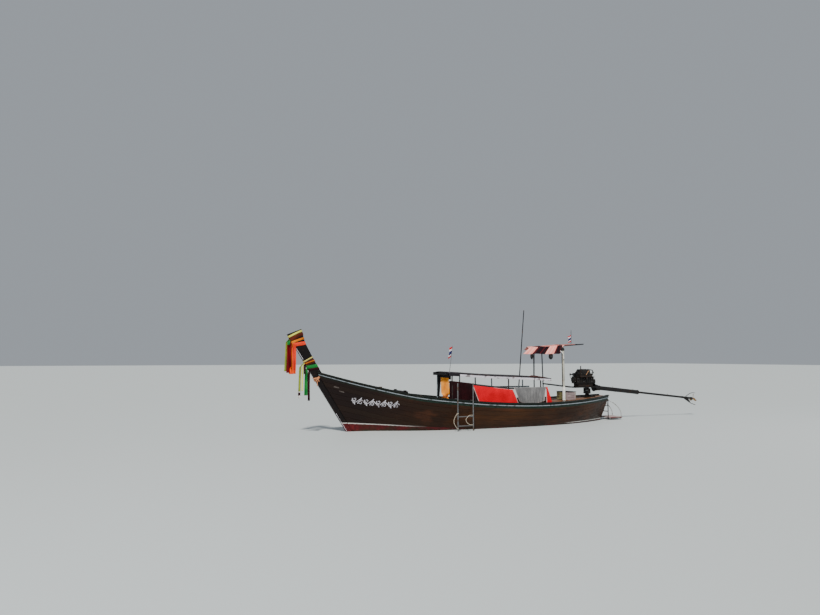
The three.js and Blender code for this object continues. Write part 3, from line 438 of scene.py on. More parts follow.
def prow_post_finish():
    """Black post whose foot carries the hull's red bottom and pale line."""
    f = Finish("prow_post_paint", 0.42, Specular_IOR_Level=0.16)
    wear = f.noise(14, (1, 1, 1), 6)
    black = f.mix(f.step(wear, 0.62, 0.70), (0.0070, 0.0050, 0.0052), (0.026, 0.012, 0.009))
    above = f.sum("SUBTRACT", f.axis("Z"), f.step(wear, 0.3, 0.7, 0.228, 0.236))
    red = f.mix(f.step(wear, 0.35, 0.7), (0.060, 0.006, 0.008), (0.120, 0.011, 0.013))
    paint = f.mix(f.step(above, 0.002, -0.002), black, red)
    line = f.step(f.sum("ABSOLUTE", above, 0), *BOOT_LINE["edge"])
    f.colour(f.mix(f.sum("MULTIPLY", line, 0.85), paint, (0.55, 0.52, 0.50)))
    f.rough(f.step(wear, 0.3, 0.75, 0.34, 0.56))
    return f.bump(wear, 0.3, 0.0012)


PLANKING = planking_finish()
POST_PAINT = prow_post_finish()
INSIDE_WOOD = timber_finish("oiled_inside_planks", (0.12, 0.060, 0.028), (0.045, 0.022, 0.011), 0.62, 0.15)
FRAME_WOOD = timber_finish("oiled_frame_timber", (0.095, 0.046, 0.021), (0.035, 0.018, 0.009), 0.6, 0.1, "z")
DECK_WOOD = timber_finish("worn_deck_boards", (0.22, 0.088, 0.030), (0.075, 0.030, 0.013), 0.6, 0.25)
DARK_DECK = timber_finish("dark_deck_boards", (0.085, 0.042, 0.024), (0.030, 0.017, 0.011), 0.5, 0.12)
BENCH_WOOD = timber_finish("bench_boards", (0.24, 0.115, 0.050), (0.10, 0.046, 0.021), 0.55, 0.3, "y")
BLACK_PAINT = paint_finish("black_gloss_paint", (0.0075, 0.0060, 0.0062), (0.030, 0.015, 0.010),
                           0.38, 0.10, 9, 0, 0.06)
GREEN_BLACK = paint_finish("green_black_paint", (0.0075, 0.0105, 0.0090), (0.035, 0.022, 0.015),
                           0.42, 0.09, 9, 0, 0.06)
WHITE_PAINT = paint_finish("white_lilac_paint", (0.72, 0.69, 0.76), (0.22, 0.19, 0.20), 0.5, 0.13, 8)
ROOF_PAINT = paint_finish("dark_roof_paint", (0.018, 0.015, 0.020), (0.07, 0.05, 0.05), 0.62, 0.16, 6)
print("timber and paint finishes:", len(bpy.data.materials))

# %% [markdown]
# # The hull's lines
# Nine stations give the hull its form, and every section is a curve from the keel to the sheer that
# is pulled out by a bilge point. The CAD solids use the same lines with flats between their strakes.
# Here the lines are drawn smooth, so that the planks can run on them with real seams.

# %% Hull lines, in metres
LINE_COLUMNS = ("lean", "keel_y", "keel_z", "bilge_y", "bilge_z", "sheer_y", "sheer_z")
HULL_LINES = (
    (4.040, 0.63, 0.0760, -0.190, 0.080, 0.700, 0.084, 1.590),
    (3.300, 0.50, 0.0520, -0.330, 0.300, -0.100, 0.470, 1.290),
    (2.300, 0.28, 0.0503, -0.355, 0.740, -0.280, 0.850, 0.980),
    (1.200, 0.10, 0.0503, -0.370, 0.950, -0.340, 1.035, 0.815),
    (0.000, 0.00, 0.0503, -0.375, 1.030, -0.345, 1.090, 0.705),
    (-1.400, 0.00, 0.0503, -0.365, 1.000, -0.330, 1.060, 0.655),
    (-2.600, -0.03, 0.0503, -0.330, 0.850, -0.280, 0.925, 0.675),
    (-3.500, -0.16, 0.0503, -0.255, 0.560, -0.190, 0.640, 0.715),
    (-4.190, -0.36, 0.0503, -0.150, 0.190, -0.080, 0.260, 0.770),
)
LEAN, SHEER_Y, SHEER_Z = (LINE_COLUMNS.index(column) for column in ("lean", "sheer_y", "sheer_z"))
KEEL_SIDE = 0.0503
PLANK = 0.032
STATION_STEPS = 92
BOW_STATION, STERN_STATION = HULL_LINES[0][0], HULL_LINES[-1][0]


def line_value(column, x):
    """Smooth value of one line at a station, with slopes from the neighbouring rows."""
    last = len(HULL_LINES) - 1
    i = 0
    while i < last - 1 and x < HULL_LINES[i + 1][0]:
        i += 1
    k = 1 + column

    def slope(row):
        a, b = HULL_LINES[max(row - 1, 0)], HULL_LINES[min(row + 1, last)]
        return (b[k] - a[k]) / (b[0] - a[0])

    h = HULL_LINES[i + 1][0] - HULL_LINES[i][0]
    t = (x - HULL_LINES[i][0]) / h
    return ((2 * t**3 - 3 * t**2 + 1) * HULL_LINES[i][k] + (t**3 - 2 * t**2 + t) * h * slope(i)
            + (3 * t**2 - 2 * t**3) * HULL_LINES[i + 1][k] + (t**3 - t**2) * h * slope(i + 1))


class Section:
    """The hull's curve at one station, from keel to sheer."""

    def __init__(self, x):
        self.x = x
        values = [line_value(c, x) for c in range(len(LINE_COLUMNS))]
        self.lean, keel_y, keel_z, bilge_y, bilge_z, self.sheer_y, self.sheer_z = values
        self.keel_y = max(keel_y, KEEL_SIDE)
        a, b, c = (self.keel_y, keel_z), (bilge_y, bilge_z), (self.sheer_y, self.sheer_z)
        steps = 60
        self.line = []
        for n in range(steps + 1):
            t = n / steps
            y, z = ((1 - t)**2 * p + 2 * t * (1 - t) * q + t**2 * r for p, q, r in zip(a, b, c))
            along = 0
            if n:
                before, y0, z0 = self.line[-1]
                along = before + math.hypot(y - y0, z - z0)
            self.line.append((along, y, z))
        self.length = self.line[-1][0]

    def at(self, share, inward=0.0):
        """Point of the section at a share of its length, moved inwards: (y, z)."""
        want = min(max(share, 0), 1) * self.length
        n = 1
        while n < len(self.line) - 1 and self.line[n][0] < want:
            n += 1
        (l0, y0, z0), (l1, y1, z1) = self.line[n - 1], self.line[n]
        t = (want - l0) / (l1 - l0)
        y, z = y0 + (y1 - y0) * t, z0 + (z1 - z0) * t
        uy, uz = (y1 - y0) / (l1 - l0), (z1 - z0) / (l1 - l0)
        if share <= 0:
            return self.keel_y, z + uy * inward
        if share >= 1:
            return y - inward / uz, z
        return max(y - uz * inward, KEEL_SIDE), z + uy * inward

    def place(self, point, side):
        y, z = point
        return Vector((self.x + self.lean * z, side * y, z))

    def half_at(self, z, inward=0.0):
        """Half breadth at a height, moved inwards."""
        for share in [n / 50 for n in range(51)]:
            y, height = self.at(share, inward)
            if height >= z:
                return y
        return self.sheer_y - inward


def station_near(x, z):
    """The station whose leaning section passes a place along the boat at a height."""
    station = x
    for _ in range(12):
        station = x - line_value(LEAN, min(max(station, STERN_STATION), BOW_STATION)) * z
    return min(max(station, STERN_STATION), BOW_STATION)


def on_hull(x, z, side, out=0.0):
    """Point of the hull's outer surface at a place along the boat and a height."""
    section = Section(station_near(x, z))
    return Vector((x, side * section.half_at(z, -out), z))


SECTIONS = [Section(BOW_STATION + (STERN_STATION - BOW_STATION) * n / STATION_STEPS)
            for n in range(STATION_STEPS + 1)]
print("midship girth", round(Section(0).length, 3), "m, breadth", round(2 * Section(0).sheer_y, 3), "m")

# %% [markdown]
# # Planks with seams
# A real plank is a bent board with eased edges, and a fine dark groove lies between two planks. Each
# plank is lofted as a closed form with its outer edges eased by 4 mm, so the groove is real. Every
# corner keeps how far it lies below the sheer, for the green paint.

# %% Plank the hull
STRAKES = (
    ("bottom", (0, 0.115, 0.225, 0.33)), ("bilge", (0.33, 0.43, 0.525, 0.62)),
    ("side", (0.62, 0.705, 0.79, 0.87)), ("sheer", (0.87, 1.0)),
)
EASED_EDGE = 0.0045
SEAM = 0.00015
FACE_SHARES = (0.35, 0.68)


def point_numbers(mesh, name, numbers):
    mesh.attributes.new(name, "FLOAT", "POINT").data.foreach_set("value", numbers)


def plank_rings(start, end, side):
    rings, below = [], []
    for section in SECTIONS:
        edge, gap = EASED_EDGE / section.length, SEAM / section.length
        top = end >= 1
        outer = [(start + gap, EASED_EDGE), (start + edge, 0)]
        outer += [(start + (end - start) * share, 0) for share in FACE_SHARES]
        outer += [(1, 0)] if top else [(end - edge, 0), (end - gap, EASED_EDGE)]
        inner = [(end if top else end - gap, PLANK), (start + gap, PLANK)]
        points = [section.at(share, depth) for share, depth in outer + inner]
        rings.append([section.place(p, side) for p in points])
        below += [section.sheer_z - z for _, z in points]
    return rings, below


def plank_strake(row, word, side):
    name, seams = row
    chance = random.Random(name + word)
    shape, tones, below = Shape(), [], []
    for start, end in zip(seams, seams[1:]):
        # The strip between the two inner corners faces inboard and takes the inside wood
        rings, under = plank_rings(start, end, side)
        count = len(rings[0])
        shape.loft(rings)
        first_face = len(shape.paints) - 2 - (len(rings) - 1) * count
        for r in range(len(rings) - 1):
            shape.paints[first_face + r * count + count - 2] = 1
        tones += [chance.random()] * (count * len(rings))
        below += under
    piece = shape.piece(f"{name}_planks_{word}", [PLANKING, INSIDE_WOOD], "hull_planks", smooth=28,
                        replaces=f"{name}_strake_{word}")
    point_numbers(piece.data, "plank_tone", tones)
    point_numbers(piece.data, "below_sheer", below)
    return piece


hull_planks = [plank_strake(row, word, side) for word, side in SIDES for row in STRAKES]
print("planked:", [p.name for p in hull_planks], sum(len(p.data.polygons) for p in hull_planks), "faces")

# %% [markdown]
# # Timber that the CAD already shapes
# Keel, ribs, thwarts, posts and caps have the right form, so the CAD nodes stay. They only need
# eased edges, which a bevel modifier gives, and a finish. Sharp edges would read as plastic.

# %% Dress the CAD timber
def dress(node, material, edge=0.0):
    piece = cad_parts[node]
    piece.data.materials.clear()
    piece.data.materials.append(material)
    if edge:
        soften_edges(piece, edge)


for word, _ in SIDES:
    dress(f"gunwale_cap_{word}", GREEN_BLACK, 0.007)
    dress(f"ribs_{word}", FRAME_WOOD)
for node, material, edge in (
    ("keel", FRAME_WOOD, 0.008), ("transom", FRAME_WOOD, 0.003), ("prow_post", POST_PAINT, 0.008),
    ("bitt_beam", BLACK_PAINT, 0.006), ("bow_bitt", FRAME_WOOD, 0.005),
    *((f"thwart_{n}", BENCH_WOOD, 0.005) for n in (1, 2, 3, 4)),
):
    dress(node, material, edge)
print("dressed CAD timber nodes")

# %% [markdown]
# # The rub rail's pale line
# The rail under the gunwale is one strip of wood with a narrow pale line along its middle, which the
# eye follows from bow to stern. Three lofts on the hull's sections give it: dark, pale and dark.

# %% Rub rails
SNUG = 0.0005
# Metres below the sheer of each strip's top and foot, how far it stands out, and its paint
RUB_ROWS = ((0.025, 0.036, 0.0125, 0), (0.036, 0.062, 0.0150, 1), (0.062, 0.070, 0.0125, 0))
RUB_STATIONS = SECTIONS[::2]


def below_sheer(section, distance, out):
    """Point on the outside a distance below the sheer, moved outwards."""
    (_, y0, z0), (_, y1, z1) = section.line[-8], section.line[-1]
    length = math.hypot(y1 - y0, z1 - z0)
    uy, uz = (y1 - y0) / length, (z1 - z0) / length
    return y1 - uy * distance + uz * out, z1 - uz * distance - uy * out


def rub_rail(word, side):
    shape = Shape()
    for top, low, thick, paint in RUB_ROWS:
        shape.loft([[section.place(below_sheer(section, d, out), side) for d, out in (
            (low, SNUG), (top, SNUG), (top, thick), (low, thick))] for section in RUB_STATIONS], paint)
    return shape.piece(f"painted_rub_rail_{word}", [GREEN_BLACK, RUB_PAINT], "black_trim", smooth=25,
                       bevel=0.0015, replaces=f"rub_rail_{word}")


RUB_PAINT = paint_finish("pale_blue_grey_line", (0.26, 0.30, 0.33), (0.08, 0.09, 0.09), 0.55, 0.15, 8)
rub_rails = [rub_rail(word, side) for word, side in SIDES]
print("rub rails:", [len(r.data.polygons) for r in rub_rails])

# %% [markdown]
# # Decks and floor in boards
# A deck is not one panel. Boards run fore and aft, each with its own tone and a narrow gap to the
# next, and they are cut to the hull's side. Each board is lofted through stations where the side is
# further out than its inner edge, so the outer boards taper to a point as real ones do.

# %% Lay the boards
BOARD_STEPS = 22
BOARD_GAP, BOARD_EASE, NARROWEST = 0.0015, 0.003, 0.012


def board_places(fore, aft):
    return [fore + (aft - fore) * n / BOARD_STEPS for n in range(BOARD_STEPS + 1)]


def lay_boards(name, replaced, fore, aft, top_of, half_of, width, thick, material, slot):
    places = board_places(fore, aft)
    chance = random.Random(name)
    shape, tones = Shape(), []
    widest = max(half_of(x) for x in places)
    count = math.ceil(2 * widest / width)
    for b in range(count):
        y0 = -count * width / 2 + b * width + BOARD_GAP
        y1 = y0 + width - 2 * BOARD_GAP
        rings = []
        for x in places:
            half = half_of(x)
            a, c = max(y0, -half), min(y1, half)
            if c - a < NARROWEST:
                continue
            top, eased = top_of(x), top_of(x) - BOARD_EASE
            lean = line_value(LEAN, min(max(x, STERN_STATION), BOW_STATION))
            rings.append([(x + lean * z, y, z) for y, z in (
                (a, top - thick), (a, eased), (a + BOARD_EASE, top), (c - BOARD_EASE, top), (c, eased),
                (c, top - thick))])
        if len(rings) > 1:
            shape.loft(rings)
            tones += [chance.random()] * (6 * len(rings))
    piece = shape.piece(name, material, slot, smooth=25, replaces=replaced)
    point_numbers(piece.data, "plank_tone", tones)
    return piece


def sheer_z(x):
    return line_value(SHEER_Z, x)


def deck_half(x):
    return line_value(SHEER_Y, x) - DECK_INSET


DECK_INSET, DECK_THICK = 0.040, 0.028
FOREDECK_ENDS, AFT_DECK_ENDS, FLOOR_ENDS = (3.8, 2.022), (-2.15, -4.186), (2.538, -2.502)
FLOOR_TOP, FLOOR_THICK, INSIDE_RIBS, FLOOR_CLEAR = -0.170, 0.025, 0.077, 0.004
FLOOR_HALF = {x: Section(x).half_at(FLOOR_TOP - FLOOR_THICK, INSIDE_RIBS) - FLOOR_CLEAR
              for x in board_places(*FLOOR_ENDS)}
foredeck = lay_boards("foredeck_boards", "foredeck", *FOREDECK_ENDS, sheer_z, deck_half, 0.125, DECK_THICK,
                      DARK_DECK, "frames_wood")
aft_deck = lay_boards("aft_deck_boards", "aft_deck", *AFT_DECK_ENDS, sheer_z, deck_half, 0.115, DECK_THICK,
                      DECK_WOOD, "deck_boards")
floor = lay_boards("floor_boards", "floorboards", *FLOOR_ENDS, lambda x: FLOOR_TOP, FLOOR_HALF.get,
                   0.16, FLOOR_THICK, DECK_WOOD, "deck_boards")
print("boards:", [len(p.data.polygons) for p in (foredeck, aft_deck, floor)])

# %% [markdown]
# # The prow post's pale edges
# The post is black with a thin pale line along its front corners, at its foot and again above the
# neck's cloth bands. A painted line that shows in outline is better as a thin strip than as a
# texture. Two blank plates sit under the gunwale on each bow, where such a boat carries its number.

# %% Pale edge strips and blank plates
STEM_FOOT, STEM_LEAN, STEM_HALF = 4.210, 0.63, 0.050
EDGE_STRIPS = (("low", 0.02, 0.50), ("high", 1.95, 2.24))
EDGE_WIDTH, EDGE_THICK, EDGE_SETBACK = 0.010, 0.0022, 0.012
BLANK_PLATES = (("fore", (4.54, 1.205), (0.13, 0.030)), ("aft", (4.40, 1.085), (0.13, 0.028)))
PLATE_SLOPE = 0.27


def post_front(z):
    return STEM_FOOT + STEM_LEAN * z


def edge_strip(name, low, high, side):
    """Strip on the post's cheek, just behind its front corner."""
    shape, rings = Shape(), []
    steps = 14
    for n in range(steps + 1):
        z = low + (high - low) * n / steps
        wobble = 0.0012 * math.sin(9 * z)
        front = post_front(z) - EDGE_SETBACK + wobble
        y = side * (STEM_HALF + 0.0003)
        out = side * EDGE_THICK
        rings.append([(front, y, z), (front - EDGE_WIDTH, y, z), (front - EDGE_WIDTH, y + out, z),
                      (front, y + out, z)])
    return shape.loft(rings).piece(name, WHITE_PAINT, "white_trim", smooth=30)


def blank_plate(name, place, size, side):
    """Thin plate that lies on the planking: its corners are found on the hull."""
    (x, z), (wide, tall) = place, size
    shape, rings = Shape(), []
    for out in (0.0012, 0.0042):
        rings.append([on_hull(x + dx, z + dz + PLATE_SLOPE * dx, side, out) for dx, dz in (
            (-wide / 2, -tall / 2), (wide / 2, -tall / 2), (wide / 2, tall / 2), (-wide / 2, tall / 2))])
    return shape.loft(rings).piece(name, DULL_PLATE, "pale_trim", smooth=30, bevel=0.001)


DULL_PLATE = paint_finish("dull_plate_paint", (0.115, 0.095, 0.085), (0.05, 0.035, 0.03), 0.6, 0.15, 14)
for word, side in SIDES:
    for level, low, high in EDGE_STRIPS:
        edge_strip(f"stem_edge_{level}_{word}", low, high, side)
    for end, place, size in BLANK_PLATES:
        blank_plate(f"blank_plate_{end}_{word}", place, size, side)
print("stem edges and blank plates on both bows")

# %% [markdown]
# # A scroll on each bow
# The bow carries white brushwork. Lettering has no place on a shared part, so a common running
# scroll stands there: a wavy stem with a curl and two leaves in each bend. It is drawn as flat
# strokes that stand 2.6 mm off the planking, with a crisp edge that a texture would lose.

# %% Bow scroll
SCROLL_START, SCROLL_BENDS, SCROLL_PITCH, SCROLL_SWING = 2.92, 8, 0.152, 0.045
STROKE_FOOT, STROKE_FACE = 0.0006, 0.0026
# How far a leaf reaches from the middle line, how much it droops, and how it leans
SCROLL_LEAVES = ((0.062, 0.055, 0.030), (0.104, 0.020, -0.020))


def stroke(shape, points, widths, side):
    """Flat painted stroke through (x, z) points, laid on the hull."""
    rings = []
    for n, (x, z) in enumerate(points):
        x1, z1 = points[min(n + 1, len(points) - 1)]
        x0, z0 = points[max(n - 1, 0)]
        length = math.hypot(x1 - x0, z1 - z0)
        nx, nz = -(z1 - z0) / length, (x1 - x0) / length
        half = widths(n / (len(points) - 1)) / 2
        upper, lower = (x + nx * half, z + nz * half), (x - nx * half, z - nz * half)
        rings.append([on_hull(*upper, side, STROKE_FOOT), on_hull(*lower, side, STROKE_FOOT),
                      on_hull(*lower, side, STROKE_FACE), on_hull(*upper, side, STROKE_FACE)])
    shape.loft(rings)


def scroll_height(x):
    return 0.76 + 0.10 * (x - 3.4) + 0.045 * (x - 3.4) ** 2


def wavy_stem():
    steps = 71
    points = []
    for n in range(steps + 1):
        x = SCROLL_START + SCROLL_BENDS * SCROLL_PITCH * n / steps
        swing = SCROLL_SWING * math.sin(math.pi * (x - SCROLL_START) / SCROLL_PITCH)
        points.append((x, scroll_height(x) + swing))
    return points


def curl(centre, start, turn, size):
    steps = 16
    points = []
    for n in range(steps + 1):
        t = n / steps
        angle = start + turn * t
        radius = size * (1 - 0.82 * t)
        points.append((centre[0] + radius * math.cos(angle), centre[1] + radius * math.sin(angle)))
    return points


def leaf_width(t):
    return 0.004 + 0.022 * math.sin(math.pi * min(t + 0.05, 1))


def leaf(x, up, reach, droop, lean):
    near = 0.036
    points = []
    for t in [k / 8 for k in range(9)]:
        away = near + (reach - near) * math.sin(t * math.pi / 2)
        points.append((x + lean * (2 * t - 0.6), scroll_height(x) + up * away - up * droop * t * (1 - t)))
    return points


def bow_scroll(name, side):
    shape = Shape()
    stroke(shape, wavy_stem(), lambda t: 0.017 * (0.6 + math.sin(math.pi * t) * 0.5), side)
    for bend in range(SCROLL_BENDS):
        x = SCROLL_START + (bend + 0.5) * SCROLL_PITCH
        up = 1 if bend % 2 == 0 else -1
        centre = (x + 0.004, scroll_height(x) - up * 0.040)
        points = curl(centre, -up * math.pi * 0.15, up * math.pi * 2.3, 0.058)
        stroke(shape, points, lambda t: 0.019 - 0.009 * t, side)
        for row in SCROLL_LEAVES:
            stroke(shape, leaf(x, up, *row), leaf_width, side)
    return shape.piece(name, WHITE_PAINT, "white_trim", smooth=30)


scrolls = [bow_scroll(f"bow_scroll_{word}", side) for word, side in SIDES]
print("bow scrolls:", [len(s.data.polygons) for s in scrolls], "faces each")

# %% [markdown]
# # Cloth
# Cloth is thin, and its look comes from folds, a hem and a weave. A sheet is a grid whose folds push
# it in and out, with real thickness from a solidify modifier. A simulation would fold it as well, but
# not where the photograph shows the folds.

# %% Cloth finishes
def cloth_finish(name, main, shade, roughness=0.9, threads=420, dirt=0.25, pattern=None):
    f = Finish(name, roughness, Specular_IOR_Level=0.12)
    folds = f.noise(4, (1, 1, 1), 4)
    warp = f.weave(threads, (0, 0, 0), 0.6)
    weft = f.weave(threads, (0, math.pi / 2, 0), 0.6)
    base = pattern(f) if pattern else f.mix(f.step(folds, 0.3, 0.7), shade, main)
    stain = f.step(f.noise(2.4, (1, 1, 1), 6, (3, 3, 3)), 0.5, 0.75, 0, dirt)
    f.colour(f.mix(stain, base, tuple(c * 0.45 + 0.02 for c in shade)))
    return f.bump(f.sum("ADD", f.sum("ADD", warp, weft), f.sum("MULTIPLY", folds, 2.0)), 0.25, 0.0012)


RED_CLOTH = cloth_finish("red_woven_cloth", (0.84, 0.0008, 0.016), (0.60, 0.0005, 0.010), dirt=0.06)
GREY_CLOTH = cloth_finish("grey_woven_cloth", (0.245, 0.245, 0.25), (0.14, 0.14, 0.145))
PALE_HEM = cloth_finish("pale_hem_cloth", (0.62, 0.50, 0.48), (0.36, 0.26, 0.25))
MAROON_CLOTH = cloth_finish("maroon_curtain_cloth", (0.026, 0.0035, 0.0055), (0.009, 0.0018, 0.003))
BLACK_TARP = cloth_finish("black_tarpaulin", (0.010, 0.010, 0.012), (0.005, 0.005, 0.006), 0.6, 260)
YELLOW_CLOTH = cloth_finish("yellow_cloth", (0.98, 0.42, 0.055), (0.72, 0.22, 0.022), dirt=0.12)


def awning_stripes(f):
    along = f.attribute("stripe_place")
    wave = f.sum("SINE", f.sum("MULTIPLY", along, 2 * math.pi), 0)
    fine = f.sum("SINE", f.sum("MULTIPLY", along, 8 * math.pi), 0)
    dark = f.mix(f.step(fine, 0.75, 0.95), (0.012, 0.004, 0.007), (0.085, 0.008, 0.012))
    pale = f.mix(f.step(fine, 0.55, 0.95), (0.90, 0.30, 0.25), (0.93, 0.50, 0.45))
    return f.mix(f.step(wave, 0.03, -0.03), pale, dark)


AWNING_CLOTH = cloth_finish("striped_awning_cloth", (0.8, 0.4, 0.35), (0.3, 0.1, 0.1), dirt=0.2,
                            pattern=awning_stripes)


def flag_bands(f):
    height = f.attribute("flag_height")
    red, white, blue = (0.52, 0.012, 0.022), (0.78, 0.76, 0.78), (0.015, 0.022, 0.13)
    middle = f.sum("ABSOLUTE", f.sum("SUBTRACT", height, 0.5), 0)
    bands = f.mix(f.step(middle, 0.162, 0.172), blue, white)
    return f.mix(f.step(middle, 0.328, 0.338), bands, red)


FLAG_CLOTH = cloth_finish("banded_flag_cloth", (0.6, 0.1, 0.1), (0.3, 0.05, 0.05), dirt=0.1,
                          pattern=flag_bands)
print("cloth finishes ready")

# %% [markdown]
# # A grid that becomes a sheet
# Nothing is stretched, because the size is measured on the folded cloth itself.

# %% Sheet helper
SMALLEST_CUT = 0.012


def cloth_sheet(name, at, across, down, material, replaces=(), thick=0.0015,
                closed=False, numbers=None, materials=None, paint=None):
    """Sheet from a place for each share (u across, v down), measured and thickened."""
    rows = [[Vector(at(c / across, r / down)) for c in range(across if closed else across + 1)]
            for r in range(down + 1)]
    count = len(rows[0])
    faces, paints = [], []
    for r in range(down):
        for c in range(count if closed else count - 1):
            n = (c + 1) % count
            faces.append((r * count + c, r * count + n, (r + 1) * count + n, (r + 1) * count + c))
            paints.append(paint(c / across, r / down) if paint else 0)
    mesh = bpy.data.meshes.new(name)
    mesh.from_pydata([p for row in rows for p in row], [], faces)
    for finish in materials or [material]:
        mesh.materials.append(finish)
    mesh.polygons.foreach_set("material_index", paints)
    mesh.shade_smooth()
    piece = new_object(name, mesh)
    if numbers:
        point_numbers(mesh, numbers[0], [numbers[1](c / across, r / down) for r in range(down + 1)
                                         for c in range(count)])
    ring = [*rows[down // 2], rows[down // 2][0]] if closed else rows[down // 2]
    width = sum((b - a).length for a, b in zip(ring, ring[1:]))
    length = sum((rows[r + 1][count // 2] - rows[r][count // 2]).length for r in range(down))
    area = sum(p.area for p in mesh.polygons)
    width, length = max(width, SMALLEST_CUT), max(length, SMALLEST_CUT)
    solid = piece.modifiers.new("cloth_thickness", "SOLIDIFY")
    solid.thickness = thick
    solid.offset = 0
    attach(piece, "root")
    if replaces:
        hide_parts(*([replaces] if isinstance(replaces, str) else replaces))
    fit = math.sqrt(max(area / (width * length), 1))
    width, length = round(width * fit + 0.0005, 3), round(length * fit + 0.0005, 3)
    print(f"  {name}: cut {width} x {length} m, {area:.3f} m2")
    return piece


def between(a, b, t):
    return a + (b - a) * t


# %% [markdown]
# # Cloths on the port rail
# A red cloth and a grey one hang over the rail, with a dark maroon curtain before them and a small
# red one behind. The red cloth is tied below the rail and pulled fairly flat, the grey one hangs in
# soft upright folds, and both have a pale hem.

# %% Hang the side cloths
RAIL_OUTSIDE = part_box("red_cloth")[0][1] - 0.0003
RAIL_WIDE = 0.028
OVER_RAIL = 0.10
CURTAIN_TURN, CURTAIN_END = 0.14, 0.375
POST_X = (1.250, 0.510, -0.600, -1.720)


def rail_z(x):
    t = (POST_X[0] - x) / (POST_X[0] - POST_X[3])
    return between(1.330, 1.105, min(1, t * 1.55))


def on_rail(top, foot, foot_z, folds, depth, round_foot=0.0, phase=0.0, below=0.0, inside=0.0):
    """Over the rail's top for the first rows, or tied below it, then down its outside in folds."""
    def at(u, v):
        over = 0.0 if below else OVER_RAIL
        x_top = between(top[0], top[1], u)
        z_top = rail_z(x_top) - below
        if v < over:
            t = v / over
            crown = 0.003 + 0.004 * math.sin(math.pi * t)
            return (x_top, RAIL_OUTSIDE - RAIL_WIDE * (1 - t), z_top + crown)
        t = (v - over) / (1 - over)
        x = between(x_top, between(foot[0], foot[1], u), t)
        z = between(z_top, foot_z + round_foot * abs(2 * u - 1) ** 3, t)
        ease = min(1, t * 3)
        wave = math.sin(folds * 2 * math.pi * u + phase + 0.9 * math.sin(3 * math.pi * u)) * 0.5
        wave += 0.25 * math.sin(2.3 * folds * math.pi * u + 5 * t + phase)
        y = RAIL_OUTSIDE + 0.006 + depth * ease * (0.55 + wave * (0.35 + 0.65 * t)) - inside * ease
        return (x, y, z)
    return at


def hem(width_share, foot_share=0.0, aft=True):
    """Which finish a face takes: the pale hem at the ends and the foot, or the cloth itself."""
    def paint(u, v):
        edge = u < width_share or (aft and u > 1 - 1.5 * width_share)
        return 1 if edge or (foot_share and v > 1 - foot_share) else 0
    return paint


hung_side = on_rail((1.262, 0.625), (1.262, 0.385), 0.775, folds=7, depth=0.020, phase=0.4, inside=0.026)


def round_the_post(u, v):
    """The curtain starts on the canopy's front, turns round the post and runs aft on the rail."""
    if u >= CURTAIN_TURN:
        return hung_side((u - CURTAIN_TURN) / (1 - CURTAIN_TURN), v)
    x, y, z = hung_side(0, v)
    t = 1 - u / CURTAIN_TURN
    return (x + 0.016 * math.sin(math.pi * min(1, 3 * t) / 2), between(y, CURTAIN_END, t), z - 0.004 * t)


RED_FOLDS = on_rail((0.615, -0.750), (0.390, -0.925), 0.652, folds=2.4, depth=0.013, phase=1.1, below=0.050)
GREY_FOLDS = on_rail((-0.775, -1.880), (-0.950, -1.820), 0.637, folds=9, depth=0.020, round_foot=0.06,
                     phase=2.0)
SMALL_RED_FOLDS = on_rail((-1.895, -1.945), (-1.895, -2.105), 0.642, folds=1.5, depth=0.016, phase=0.2)
cloth_sheet("maroon_side_cloth", round_the_post, 104, 26, MAROON_CLOTH,
            "maroon_side_curtain")
cloth_sheet("red_hung_cloth", RED_FOLDS, 110, 40, RED_CLOTH,
            "red_cloth", materials=[RED_CLOTH, PALE_HEM], paint=hem(0.016))
cloth_sheet("grey_hung_cloth", GREY_FOLDS, 130, 40, GREY_CLOTH,
            "grey_cloth", materials=[GREY_CLOTH, PALE_HEM], paint=hem(0.012, 0.026))
cloth_sheet("small_red_hung_cloth", SMALL_RED_FOLDS, 30, 34, RED_CLOTH,
            "small_red_cloth", materials=[RED_CLOTH, PALE_HEM], paint=hem(0.07, aft=False))
print("side cloths hung")

# %% [markdown]
# # The canopy's front opening
# At the far side of the opening a black curtain hangs straight. On the near side a yellow cloth is
# gathered and tied near its foot, so its folds run together there. The tarpaulin above is wound in
# turns, so its end shows the spiral that a plain cylinder would lack.

# %% Front curtain, yellow cloth and tarpaulin roll
FRONT_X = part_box("yellow_cloth")[0][0] - 0.0003
CURTAIN_TOP, CURTAIN_FOOT = 1.500, 0.86
YELLOW_TOP, YELLOW_FOOT, YELLOW_TIE, YELLOW_HALF = 1.420, 0.80, 0.885, 0.262
ROLL_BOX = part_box("rolled_tarp")
ROLL_X, ROLL_Z = ((ROLL_BOX[0][k] + ROLL_BOX[1][k]) / 2 for k in (0, 2))
ROLL_TIES = (-0.36, -0.02, 0.32)
ROLL_HALF, ROLL_TURNS = 0.468, 3.6


def front_curtain(u, v):
    y = between(-0.430, between(-0.215, -0.300, v * v), u)
    wave = 0.010 * math.sin(11 * math.pi * u + 0.6) + 0.004 * math.sin(23 * u + 6 * v)
    x = FRONT_X + 0.0150 + wave * (0.5 + 0.5 * v)
    return (x, y + 0.008 * math.sin(5 * v) * v, between(CURTAIN_TOP, CURTAIN_FOOT, v))


def front_valance(u, v):
    y = between(-0.425, 0.465, u)
    wave = 0.007 * math.sin(17 * math.pi * u) * v
    return (FRONT_X + 0.006 + wave, y, between(1.520, 1.385 + 0.012 * math.sin(5 * u), v))


